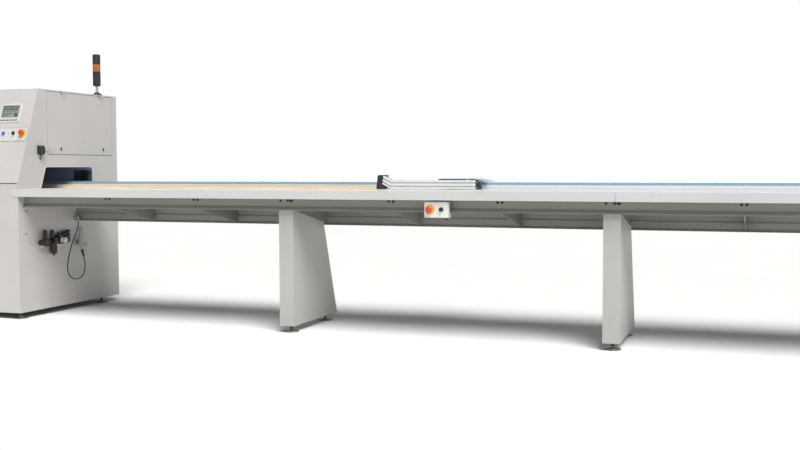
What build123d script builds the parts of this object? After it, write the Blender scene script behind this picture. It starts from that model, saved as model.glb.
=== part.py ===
from build123d import *
import math
import os

# Push-feed crosscut saw: a cabinet with an up-stroke circular saw, and a long infeed
# table along which a carriage pushes a board into the cabinet. Millimetres, +Z up,
# +X along the table away from the saw. The origin is on the floor, under the middle of
# the whole machine. Pieces are placed from the datum: the cabinet's right side face,
# the front plane of the table and the floor.

os.makedirs("parts", exist_ok=True)

# ---- Driving dimensions ----
cabinet_length = 1300.0      # along X, left of the datum
table_length = 6100.0        # along X, right of the datum
cabinet_front = -24.0        # lower front plane
cabinet_back = 1110.0        # rear plane
cabinet_floor = 43.0         # underside, held up by the feet
cabinet_top = 1585.0
ledge_z = 929.0              # where the front starts to lean back
slant_top_y = 207.0          # front edge of the roof
front_reach = 40.0           # mushroom button in front of the table's front plane
sheet = 3.0                  # panel thickness

table_z = 890.0              # working surface
top_plate = 8.0
beam_y = 45.0                # front beam's web
rear_beam_y = 600.0          # rear beam's web, and the fence line
rear_beam_z = 648.0
web = 4.0
rib_pitch = 2000.0 / 3
rib_count = 9
leg_width = 96.0
leg_centres = (1973.0, 3974.0, 5975.0)
fascia_front = -28.0
fascia_z = 838.0
fascia_seam = 4002.0

fence_top = 917.0
rail_top = 934.0
beam_back = 722.0            # rear face of the guide beam
belt_z = 835.0
pulley_radius = 20.0
belt_y = 758.0               # line of the pulley axles

board_thickness = 22.0
board_width = 98.0
head_x = 2401.0              # foot of the pusher head's pushing face
arm_start = 2503.0
arm_end = 3065.0
arm_y = 500.0

blade_x = -620.0
blade_radius = 250.0
pivot = (250.0, 420.0)       # saw arm's pivot, in Y and Z
arbor = (560.0, 600.0)       # saw arbor at rest, in Y and Z
running_fit = 0.05           # radial clearance of a shaft in its hole

side_x = cabinet_length - (cabinet_length + table_length) / 2
fascia_y = front_reach - (front_reach + cabinet_back) / 2

TURN = {"x": (0, 90, 0), "y": (90, 0, 0), "z": (0, 0, 0)}


def at(x, y, z):
    """A point given from the datum."""
    return (side_x + x, fascia_y + y, z)


def block(xs, ys, zs, mode=Mode.ADD):
    """A box between two limits on each axis, from the datum."""
    with Locations(at(sum(xs) / 2, sum(ys) / 2, sum(zs) / 2)):
        Box(xs[1] - xs[0], ys[1] - ys[0], zs[1] - zs[0], mode=mode)


def rod(centre, radius, length, axis="z", mode=Mode.ADD):
    """A cylinder about its centre, along one of the machine's axes."""
    with Locations(at(*centre)):
        Cylinder(radius, length, rotation=TURN[axis], mode=mode)


def side_plane(x):
    """A plane facing +X, whose sketch axes are the machine's Y and Z."""
    return Plane(origin=at(x, 0, 0), x_dir=(0, 1, 0), z_dir=(1, 0, 0))


def front_plane(y):
    """A plane facing -Y, whose sketch axes are the machine's X and Z."""
    return Plane(origin=at(0, y, 0), x_dir=(1, 0, 0), z_dir=(0, -1, 0))


def save(builder, label):
    """Names a finished piece and writes it."""
    builder.part.label = label
    export_step(builder.part, f"parts/{label}.step")


# The leaning front: a plane whose sketch axes run along X and up the slope.
slope = Vector(0, slant_top_y - cabinet_front, cabinet_top - ledge_z)
slope_length = slope.length
slope = slope.normalized()
slope_out = Vector(0, -slope.Z, slope.Y)
outward = Axis((0, 0, 0), tuple(slope_out))


def slant_plane(out):
    """The leaning front's plane, moved out by a distance; sketch X and up the slope."""
    foot = Vector(*at(0, cabinet_front, ledge_z)) + slope_out * out
    return Plane(origin=foot, x_dir=(1, 0, 0), z_dir=slope_out)


def slant_block(xs, ups, outs, mode=Mode.ADD):
    """A box on the leaning front: limits along X, up the slope and outwards."""
    with BuildSketch(slant_plane(outs[0])) as base:
        with Locations(((xs[0] + xs[1]) / 2, (ups[0] + ups[1]) / 2)):
            Rectangle(xs[1] - xs[0], ups[1] - ups[0])
    extrude(base.sketch, amount=outs[1] - outs[0], mode=mode)


def slant_rod(place, radius, outs, mode=Mode.ADD):
    """A cylinder that stands on the leaning front: its place is X and up the slope."""
    with BuildSketch(slant_plane(outs[0])) as base:
        with Locations(place):
            Circle(radius)
    extrude(base.sketch, amount=outs[1] - outs[0], mode=mode)


def hood_pin(x, radius, length, mode=Mode.ADD):
    """A cylinder along X on the front hood's hinge line."""
    foot = Vector(*at(x, cabinet_front, ledge_z))
    centre = foot + slope * hood_hinge_up + slope_out * hood_hinge_out
    with BuildSketch(Plane(origin=centre, x_dir=slope, z_dir=(1, 0, 0))) as base:
        Circle(radius)
    extrude(base.sketch, amount=length, mode=mode)


# ---- Cabinet: frame, bed and sheet panels ----
outline = [
    (cabinet_front, cabinet_floor),
    (cabinet_front, ledge_z),
    (slant_top_y, cabinet_top),
    (cabinet_back, cabinet_top),
    (cabinet_back, cabinet_floor),
]
opening_top = 1040.0
opening_back = 801.0
opening = [
    (214.0, table_z),
    (267.0, opening_top),
    (opening_back, opening_top),
    (opening_back, table_z),
]
hatch_ys = (295.0, 1047.0)
hatch_zs = (1131.0, 1572.0)
hatch_gap = 3.0
hinge_z = 1575.0
hatch_lock_places = {"hatch_lock_front": (439.0, 1170.0), "hatch_lock_rear": (935.0, 1173.0)}
lock_shaft = 7.0

post = 60.0
inside = (-cabinet_length + sheet, -sheet)

with BuildPart() as cabinet_frame:
    for y in (cabinet_front + sheet, cabinet_back - sheet - post):
        block(inside, (y, y + post), (cabinet_floor, cabinet_floor + post))
        for x in (inside[0], inside[1] - post):
            top = 850.0 if y < 0 else cabinet_top - 2 * sheet
            block((x, x + post), (y, y + post), (cabinet_floor + post, top))
    for x in (inside[0], blade_x + 30, inside[1] - post):
        block((x, x + post), (cabinet_front + sheet + post, cabinet_back - sheet - post),
              (cabinet_floor, cabinet_floor + post))
save(cabinet_frame, "cabinet_frame")

bed_ys = (60.0, 860.0)
blade_gap = 4.0                  # from the blade's middle to each half of the bed
with BuildPart() as saw_bed:
    for xs in ((inside[0], blade_x - blade_gap), (blade_x + blade_gap, inside[1])):
        block(xs, bed_ys, (table_z - 20, table_z))
        for y in (bed_ys[0], bed_ys[1] - 80):
            block(xs, (y, y + 80), (table_z - 40, table_z - 20))
save(saw_bed, "saw_bed")

for label, x, with_hatch in (
    ("right_side_panel", 0.0, True),
    ("left_side_panel", -cabinet_length + sheet, False),
):
    with BuildPart() as side_panel:
        with BuildSketch(side_plane(x)):
            with BuildLine():
                Polyline(*outline, close=True)
            make_face()
            with BuildLine():
                FilletPolyline(*opening, radius=(1, 14, 40, 1), close=True)
            make_face(mode=Mode.SUBTRACT)
            if with_hatch:
                with Locations((sum(hatch_ys) / 2, sum(hatch_zs) / 2)):
                    Rectangle(
                        hatch_ys[1] - hatch_ys[0] + 2 * hatch_gap,
                        hatch_zs[1] - hatch_zs[0] + 2 * hatch_gap,
                        mode=Mode.SUBTRACT,
                    )
        extrude(amount=-sheet)
    save(side_panel, label)

front_xs = inside
with BuildPart() as front_lower_panel:
    block(front_xs, (cabinet_front, cabinet_front + sheet), (cabinet_floor, ledge_z - 4))
    block(front_xs, (cabinet_front + sheet, cabinet_front + 22),
          (ledge_z - 4 - sheet, ledge_z - 4))
save(front_lower_panel, "front_lower_panel")

hood_xs = (-1180.0, -380.0)
hood_ups = (40.0, 640.0)
hood_lap = 30.0
screen_xs = (-262.0, -117.0)
screen_ups = (480.0, 571.0)
bezel_xs = (-278.0, -96.0)
bezel_ups = (443.0, 587.0)
button_xs = (-252.0, -12.0)
button_ups = (307.0, 402.0)
button_line = 362.0
console_estop_x = -46.0
reset_x = -205.0
selector_x = -121.0
plate_out = 3.0

stem = 11.0                  # radius of every button's stem
stem_hole = stem + 0.1
console_xs = (console_estop_x, reset_x, selector_x)
with BuildPart() as front_slant_panel:
    slant_block(front_xs, (2.0, slope_length - 3), (-sheet, 0))
    slant_block((hood_xs[0] + hood_lap, hood_xs[1] - hood_lap),
                (hood_ups[0] + hood_lap, hood_ups[1] - hood_lap), (-sheet, 0), Mode.SUBTRACT)
    for x in console_xs:
        slant_rod((x, button_line), stem_hole + 2, (-sheet, 0), Mode.SUBTRACT)
save(front_slant_panel, "front_slant_panel")

spigot_place = (-950.0, 800.0)
spigot_radius = 75.0
lamp_place = (-60.0, 955.0)
with BuildPart() as roof_panel:
    block(front_xs, (slant_top_y + 5, cabinet_back - sheet), (cabinet_top - sheet, cabinet_top))
    rod((*spigot_place, cabinet_top), spigot_radius - sheet, 20.0, mode=Mode.SUBTRACT)
save(roof_panel, "roof_panel")

louvre_rows = 9
with BuildPart() as rear_panel:
    block(front_xs, (cabinet_back - sheet, cabinet_back), (cabinet_floor, cabinet_top))
    for x in (-990.0, -310.0):
        with Locations(at(x, cabinet_back, 330.0)):
            with Locations(*[(0, 0, 24 * row) for row in range(louvre_rows)]):
                Box(180, 20, 7, mode=Mode.SUBTRACT)
save(rear_panel, "rear_panel")

tunnel_wall = 3.0
tunnel_length = 480.0
with BuildPart() as infeed_tunnel:
    with BuildSketch(side_plane(-sheet)):
        with BuildLine():
            FilletPolyline(
                (opening[0][0] - tunnel_wall, table_z),
                (opening[1][0] - tunnel_wall, opening_top + tunnel_wall),
                (opening_back + tunnel_wall, opening_top + tunnel_wall),
                (opening_back + tunnel_wall, table_z),
                radius=(1, 17, 43, 1),
                close=True,
            )
        make_face()
        with BuildLine():
            FilletPolyline(*opening, radius=(1, 14, 40, 1), close=True)
        make_face(mode=Mode.SUBTRACT)
    extrude(amount=-tunnel_length)
    block((-tunnel_length - 10, 0), (opening[0][0], opening_back), (table_z - 5, table_z + 2),
          Mode.SUBTRACT)
save(infeed_tunnel, "infeed_tunnel")

with BuildPart() as extraction_spigot:
    rod((*spigot_place, cabinet_top + 40), spigot_radius, 80.0)
    rod((*spigot_place, cabinet_top + 2), spigot_radius + 20, 4.0)
    rod((*spigot_place, cabinet_top + 40), spigot_radius - 2, 90.0, mode=Mode.SUBTRACT)
save(extraction_spigot, "extraction_spigot")

# ---- Signal lamp on the roof ----
lamp_radius = 29.0
lens_zs = (1767.0, 1823.0)
lamp_top = 1899.0
body_bottom = 1658.0
with BuildPart() as stack_light_body:
    rod((*lamp_place, cabinet_top + 5), 36.0, 10.0)
    rod((*lamp_place, cabinet_top + 22), 17.0, 24.0)
    rod((*lamp_place, (cabinet_top + 34 + body_bottom) / 2), 11.0, body_bottom - cabinet_top - 34)
    rod((*lamp_place, (body_bottom + lens_zs[0]) / 2), lamp_radius, lens_zs[0] - body_bottom)
    rod((*lamp_place, sum(lens_zs) / 2), 8.0, lens_zs[1] - lens_zs[0])
    rod((*lamp_place, (lens_zs[1] + lamp_top) / 2), lamp_radius, lamp_top - lens_zs[1])
    fillet(stack_light_body.edges().filter_by(GeomType.CIRCLE).sort_by(Axis.Z)[-1], 4)
save(stack_light_body, "stack_light_body")

with BuildPart() as stack_light_lens:
    rod((*lamp_place, sum(lens_zs) / 2), lamp_radius - 0.5, lens_zs[1] - lens_zs[0])
    rod((*lamp_place, sum(lens_zs) / 2), lamp_radius - 4, 80.0, mode=Mode.SUBTRACT)
save(stack_light_lens, "stack_light_lens")

# ---- Operator console on the leaning front ----
with BuildPart() as console_plate:
    slant_block(bezel_xs, bezel_ups, (0, 5))
    slant_block(screen_xs, screen_ups, (1, 5), Mode.SUBTRACT)
    slant_block(button_xs, button_ups, (0, plate_out))
    for x in console_xs:
        slant_rod((x, button_line), stem_hole, (0, plate_out), Mode.SUBTRACT)
    for key_x in (-250.0, -225.0, -200.0, -175.0, -150.0, -125.0):
        slant_block((key_x - 8, key_x + 8), (456, 466), (5, 6.5))
save(console_plate, "console_plate")

with BuildPart() as console_screen:
    slant_block(screen_xs, screen_ups, (1, 4))
save(console_screen, "console_screen")

box_xs = (2896.0, 3046.0)
box_zs = (735.0, 829.0)
box_front = -8.0
table_estop_place = (2930.0, 783.0)
feed_button_place = (3000.0, 784.0)
with BuildPart() as estop_collars:
    slant_rod((console_estop_x, button_line), 30.0, (plate_out, plate_out + 3))
    slant_rod((console_estop_x, button_line), stem_hole, (plate_out, plate_out + 3),
              Mode.SUBTRACT)
    rod((table_estop_place[0], box_front - 1.5, table_estop_place[1]), 30.0, 3.0, "y")
    rod((table_estop_place[0], box_front - 1.5, table_estop_place[1]), stem_hole, 9.0, "y",
        Mode.SUBTRACT)
save(estop_collars, "estop_collars")



def slant_button(x, cap_radius, cap_outs, stem_in):
    """A round cap and its stem on the leaning front."""
    slant_rod((x, button_line), stem, (-stem_in, cap_outs[0]))
    slant_rod((x, button_line), cap_radius, cap_outs)


with BuildPart() as console_estop:
    slant_button(console_estop_x, 20.0, (16, 33), 8)
    fillet(console_estop.faces().sort_by(outward)[-1].edges(), 6)
save(console_estop, "console_estop")

with BuildPart() as reset_button:
    slant_button(reset_x, 12.5, (9, 17), 8)
    fillet(reset_button.faces().sort_by(outward)[-1].edges(), 2)
save(reset_button, "reset_button")

with BuildPart() as mode_selector:
    slant_button(selector_x, 13.0, (5, 12), 8)
    slant_block((selector_x - 4.5, selector_x + 4.5), (button_line - 13, button_line + 13),
                (12, 24))
save(mode_selector, "mode_selector")

# ---- Side hatch, its locks and its door switch ----
hatch_knuckles = (450.0, 892.0)
knuckle = 4.5
pin = 2.5
with BuildPart() as side_hatch:
    block((-sheet, 0), hatch_ys, hatch_zs)
    for z in (hatch_zs[0], hatch_zs[1] - 14):
        block((-16, -sheet), (hatch_ys[0] + 14, hatch_ys[1] - 14), (z + 6, z + 8))
    block((0, 3), (254.0, 330.0), (1150, 1172))
    for y, z in hatch_lock_places.values():
        rod((0, y, z), lock_shaft + running_fit, 80.0, "x", Mode.SUBTRACT)
    for y in hatch_knuckles:
        block((0, 3), (y + 16, y + 46), (hinge_z - 30, hinge_z - 4))
        rod((knuckle, y + 31, hinge_z), knuckle, 30.0, "y")
        block((0, knuckle), (y + 16, y + 46), (hinge_z - 8, hinge_z))
        rod((knuckle, y + 31, hinge_z), pin + running_fit, 30.0, "y", Mode.SUBTRACT)
save(side_hatch, "side_hatch")

for label, (y, z) in hatch_lock_places.items():
    with BuildPart() as hatch_lock:
        rod((2.3, y, z), 12.0, 4.0, "x")
        rod((-10, y, z), lock_shaft, 24.0, "x")
        block((-22, -18), (y - 6, y + 50), (z - 6, z + 6))
        block((2.8, 5), (y - 9, y + 9), (z - 1.5, z + 1.5), Mode.SUBTRACT)
    save(hatch_lock, label)

hood_hinge_up = hood_ups[1] + 12
hood_hinge_out = 6.0
hood_knuckles = (-1080.0, -520.0)
with BuildPart() as hinge_knuckles:
    for y in hatch_knuckles:
        rod((knuckle, y, hinge_z), knuckle, 30.0, "y")
        rod((knuckle, y + 15, hinge_z), pin, 60.0, "y")
        block((0, knuckle), (y - 15, y + 15), (hinge_z, hinge_z + 9))
    for x in hood_knuckles:
        hood_pin(x - 15, 5.5, 30)
        hood_pin(x - 15, 3, 61)
        slant_block((x - 15, x + 15), (hood_hinge_up, hood_hinge_up + 30), (0, 2.5))
save(hinge_knuckles, "hinge_knuckles")

with BuildPart() as interlock_switch:
    block((0, 30), (179.0, 249.0), (1127, 1189))
    fillet(interlock_switch.edges().filter_by(Axis.X), 4)
    block((0, 8), (249.0, 252.0), (1145, 1178))
save(interlock_switch, "interlock_switch")

# ---- Front hood over the saw ----
window_xs = (-1080.0, -480.0)
window_ups = (180.0, 500.0)
hood_out = (1.0, 4.0)
with BuildPart() as front_hood:
    slant_block(hood_xs, hood_ups, hood_out)
    slant_block((window_xs[0] + 15, window_xs[1] - 15), (window_ups[0] + 15, window_ups[1] - 15),
                hood_out, Mode.SUBTRACT)
    for x in hood_knuckles:
        slant_block((x + 16, x + 46), (hood_ups[1] - 30, hood_hinge_up), (hood_out[1], 6.5))
        slant_block((x + 16, x + 46), (hood_ups[1], hood_hinge_up), (2.5, 6.5))
        hood_pin(x + 16, 5.5, 30)
        hood_pin(x + 16, 3 + running_fit, 30, Mode.SUBTRACT)
    for x in (-860.0, -700.0):
        slant_block((x - 6, x + 6), (84, 96), (hood_out[1], 30))
    slant_block((-872.0, -688.0), (82, 98), (30, 40))
save(front_hood, "front_hood")

with BuildPart() as hood_window:
    slant_block(window_xs, window_ups, (hood_out[1], hood_out[1] + 5))
save(hood_window, "hood_window")

# ---- Saw unit under the bed ----
ear_xs = ((-560.0, -545.0), (-415.0, -400.0))
pivot_shaft = 20.0
with BuildPart() as arm_bracket:
    for xs in ear_xs:
        with BuildSketch(side_plane(xs[0])):
            with BuildLine():
                Polyline((120, 115), (380, 115), (300, 455), (200, 455), close=True)
            make_face()
        extrude(amount=xs[1] - xs[0])
    block((-590, -370), (120, 380), (cabinet_floor + post, 115))
    rod((sum(ear_xs[0] + ear_xs[1]) / 4, *pivot), pivot_shaft, 200.0, "x")
save(arm_bracket, "arm_bracket")

arm_xs = (-543.0, -417.0)
arm_mid = sum(arm_xs) / 2
arm_run = Vector(0, arbor[0] - pivot[0], arbor[1] - pivot[1])
arm_turn = math.degrees(math.atan2(arm_run.Z, arm_run.Y))
spindle = 15.0
with BuildPart() as saw_arm:
    rod((arm_mid, *pivot), 42.0, arm_xs[1] - arm_xs[0], "x")
    rod((arm_mid, *arbor), 62.0, arm_xs[1] - arm_xs[0], "x")
    with BuildSketch(side_plane(arm_xs[0])):
        with Locations(((pivot[0] + arbor[0]) / 2, (pivot[1] + arbor[1]) / 2)):
            Rectangle(arm_run.length, 70, rotation=arm_turn)
    extrude(amount=arm_xs[1] - arm_xs[0])
    rod((arm_mid, *pivot), pivot_shaft + running_fit, 200.0, "x", Mode.SUBTRACT)
    rod((arm_mid, *arbor), spindle + running_fit, 200.0, "x", Mode.SUBTRACT)
save(saw_arm, "saw_arm")

motor_xs = (arm_xs[1], -120.0)
with BuildPart() as saw_motor:
    rod((sum(motor_xs) / 2, *arbor), 95.0, motor_xs[1] - motor_xs[0], "x")
    rod((motor_xs[0], *arbor), spindle + 1, 40.0, "x", Mode.SUBTRACT)
    block((-330, -230), (arbor[0] - 50, arbor[0] + 50), (arbor[1] - 125, arbor[1] - 80))
save(saw_motor, "saw_motor")

with BuildPart() as saw_arbor:
    rod(((blade_x - 26 + motor_xs[0] + 10) / 2, *arbor), spindle, motor_xs[0] + 36 - blade_x, "x")
    rod((blade_x + 8, *arbor), 55.0, 12.0, "x")
    rod((blade_x - 8, *arbor), 55.0, 12.0, "x")
    rod((blade_x - 19, *arbor), 22.0, 10.0, "x")
    rod((blade_x, *arbor), 40.0, 4.0, "x", Mode.SUBTRACT)
    rod((blade_x, *arbor), spindle, 4.0, "x")
save(saw_arbor, "saw_arbor")

tooth_count = 60
with BuildPart() as saw_blade:
    with BuildSketch(side_plane(blade_x - 2)):
        with Locations(arbor):
            Circle(blade_radius - 6)
            with PolarLocations(blade_radius - 6, tooth_count):
                RegularPolygon(9, 3)
            Circle(spindle, mode=Mode.SUBTRACT)
    extrude(amount=4)
save(saw_blade, "saw_blade")

clamp_x = -545.0
clamp_y = 480.0
clamp_rod = 10.0
with BuildPart() as clamp_bridge:
    block((clamp_x - 40, clamp_x + 40), (180.0, 830.0), (1200, 1240))
    for y in (180.0, 800.0):
        block((clamp_x - 40, clamp_x + 40), (y, y + 30), (table_z, 1200))
    rod((clamp_x, clamp_y, 1130), 32.0, 140.0)
    rod((clamp_x, clamp_y, 1105), clamp_rod + running_fit, 90.0, mode=Mode.SUBTRACT)
save(clamp_bridge, "clamp_bridge")

clamp_zs = (962.0, 984.0)
with BuildPart() as clamp_shoe:
    block((clamp_x - 45, clamp_x + 45), (clamp_y - 60, clamp_y + 100), clamp_zs)
    fillet(clamp_shoe.edges().filter_by(Axis.Y).group_by(Axis.Z)[0], 8)
    rod((clamp_x, clamp_y, 1050), clamp_rod, 132.0)
save(clamp_shoe, "clamp_shoe")

# ---- Feet and table ----
foot_places = [(-48.0, 40.0), (-48.0, 950.0), (-1250.0, 40.0), (-1250.0, 950.0)]
for centre in leg_centres:
    foot_places.append((centre, 116.0))
    foot_places.append((centre, 641.0))
with BuildPart() as levelling_feet:
    for x, y in foot_places:
        with Locations(at(x, y, 0)):
            Cone(47.5, 40, 12, align=(Align.CENTER, Align.CENTER, Align.MIN))
        rod((x, y, 18.5), 13.0, 13.0)
        rod((x, y, 34), 8.0, 18.0)
save(levelling_feet, "levelling_feet")

table_xs = (0.5, table_length)
rib_foot_front = 770.0
rib_foot_back = 655.0
with BuildPart() as table_frame:
    with BuildSketch(side_plane(table_xs[0])):
        with BuildLine():
            Polyline(
                (beam_y, table_z - top_plate), (beam_y, 792), (21, 768), (25, 766),
                (beam_y + web, 789), (beam_y + web, table_z - top_plate), close=True,
            )
        make_face()
        with BuildLine():
            Polyline(
                (rear_beam_y - web, table_z - top_plate), (rear_beam_y - web, 708),
                (rear_beam_y - 12, 702), (rear_beam_y - web, 696), (rear_beam_y - web, 664),
                (rear_beam_y - 20, rear_beam_z + 2), (rear_beam_y - 17, rear_beam_z),
                (rear_beam_y, 662), (rear_beam_y, table_z - top_plate), close=True,
            )
        make_face()
    extrude(amount=table_length - table_xs[0])
    for number in range(1, rib_count + 1):
        with BuildSketch(side_plane(rib_pitch * number)):
            with BuildLine():
                Polyline(
                    (beam_y + web, rib_foot_front), (beam_y + web, table_z - top_plate),
                    (rear_beam_y - web, table_z - top_plate),
                    (rear_beam_y - web, rib_foot_back), close=True,
                )
            make_face()
        extrude(amount=web)
save(table_frame, "table_frame")

with BuildPart() as table_top:
    block(table_xs, (fascia_front + sheet, rear_beam_y), (table_z - top_plate, table_z))
    for x in range(400, int(table_length), 800):
        for y in (20.0, 570.0):
            with Locations(at(x, y, table_z)):
                CounterSinkHole(3.5, 7, top_plate)
save(table_top, "table_top")

with BuildPart() as fascia:
    for xs in ((-50.0, fascia_seam - 1.5), (fascia_seam + 1.5, table_length)):
        block(xs, (fascia_front, fascia_front + sheet), (fascia_z, table_z))
        block((max(xs[0], table_xs[0]), xs[1]), (fascia_front + sheet, beam_y),
              (fascia_z, fascia_z + sheet))
    chamfer(fascia.edges().filter_by(Axis.Y).group_by(Axis.X)[0].sort_by(Axis.Z)[0], 20)
save(fascia, "fascia")

rib_slope = (rib_foot_front - rib_foot_back) / (rear_beam_y - beam_y - 2 * web)
leg_back_top = 515.0
leg_shape = [
    (beam_y + web, cabinet_floor),
    (beam_y + web, rib_foot_front),
    (leg_back_top, rib_foot_front - rib_slope * (leg_back_top - beam_y - web)),
    (731.0, cabinet_floor),
]
with BuildPart() as table_legs:
    for centre in leg_centres:
        with BuildSketch(side_plane(centre - leg_width / 2)):
            with BuildLine():
                Polyline(*leg_shape, close=True)
            make_face()
        extrude(amount=leg_width)
        with BuildSketch(side_plane(centre - leg_width / 2 + web)):
            with BuildLine():
                Polyline(*leg_shape, close=True)
            make_face()
            offset(amount=-web)
        extrude(amount=leg_width - 2 * web, mode=Mode.SUBTRACT)
save(table_legs, "table_legs")

# ---- Fence, guide beam and feed drive ----
fence_xs = (-560.0, table_length - 10)
with BuildPart() as back_fence:
    block(fence_xs, (rear_beam_y, rear_beam_y + 40), (table_z, fence_top))
    block(fence_xs, (rear_beam_y, rear_beam_y + 2), (table_z, table_z + 12), Mode.SUBTRACT)
save(back_fence, "back_fence")

rail_runs = (150.0, 5960.0)
rail_zs = (790.0, 880.0)
with BuildPart() as guide_beam:
    block((10.0, table_length - 10), (rear_beam_y + 42, beam_back), (760.0, fence_top))
    block((-500.0, table_length - 10), (rear_beam_y, beam_back), (fence_top, rail_top))
    for number in range(rib_count):
        x = rib_pitch * number + 330
        block((x - 40, x + 40), (rear_beam_y, rear_beam_y + 42), (770.0, 880.0))
    for z in rail_zs:
        block(rail_runs, (beam_back, beam_back + 15), (z - 7.5, z + 7.5))
save(guide_beam, "guide_beam")

carriage_xs = (2797.0, 3039.0)
plate_y = 752.0
with BuildPart() as carriage_plate:
    block((carriage_xs[0] + 4, carriage_xs[1] - 4), (plate_y, plate_y + 10), (766.0, 938.0))
    for z in rail_zs:
        for x in (carriage_xs[0] + 40, carriage_xs[1] - 40):
            block((x - 32, x + 32), (beam_back + 3, plate_y), (z - 22, z + 22))
        block((carriage_xs[0], carriage_xs[1]), (beam_back, beam_back + 15.5), (z - 8, z + 8),
              Mode.SUBTRACT)
    block((2850.0, 3000.0), (arm_y + 45, plate_y + 10), (938.0, 948.0))
    block((2900.0, 2950.0), (belt_y - pulley_radius + 1.5, plate_y), (822.0, 848.0))
save(carriage_plate, "carriage_plate")

hood_top = 957.0
hood_nose = 3120.0
hood_back = 790.0
with BuildPart() as carriage_hood:
    with BuildSketch(front_plane(rear_beam_y - 20)):
        with BuildLine():
            Polyline(
                (carriage_xs[0], 936), (carriage_xs[0], hood_top), (carriage_xs[1], hood_top),
                (hood_nose, 941), (hood_nose, 938), (carriage_xs[1], 936), close=True,
            )
        make_face()
    extrude(amount=-(hood_back - rear_beam_y + 20))
    with BuildSketch(front_plane(rear_beam_y - 20)):
        with BuildLine():
            Polyline(
                (carriage_xs[0] + 3, 930), (carriage_xs[0] + 3, hood_top - 3),
                (carriage_xs[1] - 1, hood_top - 3), (carriage_xs[1] - 1, 930), close=True,
            )
        make_face()
    extrude(amount=-(hood_back - rear_beam_y + 17), mode=Mode.SUBTRACT)
    block((carriage_xs[0], carriage_xs[1]), (hood_back - 3, hood_back), (800.0, 940.0))
save(carriage_hood, "carriage_hood")

arm_zs = (893.0, 949.0)
arm_back = arm_y + 45
with BuildPart() as pusher_arm:
    block((arm_start, arm_end), (arm_y, arm_back), arm_zs)
    with BuildSketch(front_plane(arm_y)):
        with BuildLine():
            Polyline(
                (arm_start, arm_zs[0]), (arm_start, arm_zs[1]), (2451.0, 978.0),
                (2446.0, 918.0), (2472.0, arm_zs[0]), close=True,
            )
        make_face()
    extrude(amount=-45)
    for z in (908.0, 933.0):
        block((arm_start, arm_end), (arm_y, arm_y + 4), (z - 2.5, z + 2.5), Mode.SUBTRACT)
    for x in (arm_start + 60, arm_end - 60):
        block((x - 10, x + 10), (arm_y + 14, arm_y + 34), (arm_zs[1], arm_zs[1] + 3))
save(pusher_arm, "pusher_arm")

head_lean = 9.0
with BuildPart() as pusher_head:
    with BuildSketch(front_plane(arm_y)):
        with BuildLine():
            Polyline(
                (head_x, 891.0), (head_x + head_lean, 981.0), (head_x + 50, 981.0),
                (head_x + 50 - head_lean * 1.15, 891.0), close=True,
            )
        make_face()
    extrude(amount=-96)
    with BuildSketch(front_plane(arm_y)):
        with BuildLine():
            Polyline(
                (arm_start, arm_zs[0]), (arm_start, arm_zs[1]), (2451.0, 978.0),
                (2446.0, 918.0), (2472.0, arm_zs[0]), close=True,
            )
        make_face()
    extrude(amount=-45, mode=Mode.SUBTRACT)
save(pusher_head, "pusher_head")

with BuildPart() as arm_end_cap:
    with BuildSketch(front_plane(arm_y)):
        with BuildLine():
            Polyline(
                (arm_end, arm_zs[0]), (arm_end, arm_zs[1]), (arm_end + 6, arm_zs[1] - 1),
                (arm_end + 32, 901.0), (arm_end + 32, arm_zs[0]), close=True,
            )
        make_face()
    extrude(amount=-45)
save(arm_end_cap, "arm_end_cap")

board_end = blade_x + 10
with BuildPart() as board:
    block((board_end, head_x - 0.5), (rear_beam_y - 0.5 - board_width, rear_beam_y - 0.5),
          (table_z, table_z + board_thickness))
save(board, "board")

pulley_xs = {"idler_pulley": 75.0, "drive_pulley": 6040.0}
belt_thickness = 2.5
belt_gap = 0.3
with BuildPart() as feed_belt:
    with BuildSketch(Plane.XY.offset(belt_z - 10)):
        for reach, mode in ((belt_thickness, Mode.ADD), (0.0, Mode.SUBTRACT)):
            with Locations(at(sum(pulley_xs.values()) / 2, belt_y, 0)):
                SlotCenterToCenter(
                    pulley_xs["drive_pulley"] - pulley_xs["idler_pulley"],
                    2 * (pulley_radius + belt_gap + reach),
                    mode=mode,
                )
    extrude(amount=20)
save(feed_belt, "feed_belt")

shaft = 8.0
for label, x in pulley_xs.items():
    with BuildPart() as pulley:
        rod((x, belt_y, belt_z), pulley_radius, 24.0)
        rod((x, belt_y, belt_z + 13.5), pulley_radius + 4, 3.0)
        rod((x, belt_y, belt_z - 13.5), pulley_radius + 4, 3.0)
        if label == "idler_pulley":
            rod((x, belt_y, belt_z), shaft + running_fit, 40.0, mode=Mode.SUBTRACT)
        else:
            rod((x, belt_y, belt_z - 45), shaft, 70.0)
    save(pulley, label)

motor_top = 780.0
with BuildPart() as gear_motor:
    block((5990.0, 6090.0), (beam_back, belt_y + 44), (motor_top - 90, motor_top - 26))
    block((5990.0, 6090.0), (beam_back, belt_y + 40), (motor_top - 26, motor_top))
    rod((6040.0, belt_y, motor_top - 20), shaft + running_fit, 60.0, mode=Mode.SUBTRACT)
    rod((5890.0, belt_y, motor_top - 58), 44.0, 200.0, "x")
    block((40.0, 110.0), (beam_back, belt_y + 14), (belt_z - 24, belt_z - 17))
    rod((pulley_xs["idler_pulley"], belt_y, belt_z - 2), shaft, 36.0)
save(gear_motor, "gear_motor")

# ---- Control box under the table's edge ----
with BuildPart() as control_box:
    block(box_xs, (box_front, beam_y), box_zs)
    fillet(control_box.edges().filter_by(Axis.Y), 3)
    block(box_xs, (16.0, beam_y), (box_zs[0] + 25, box_zs[1]), Mode.SUBTRACT)
    block((box_xs[0] + 2, box_xs[1] - 2), (16.0, 19.0), (box_zs[0] + 20, box_zs[1]))
    for x, z in (table_estop_place, feed_button_place):
        rod((x, box_front, z), stem_hole, 60.0, "y", Mode.SUBTRACT)
save(control_box, "control_box")

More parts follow.
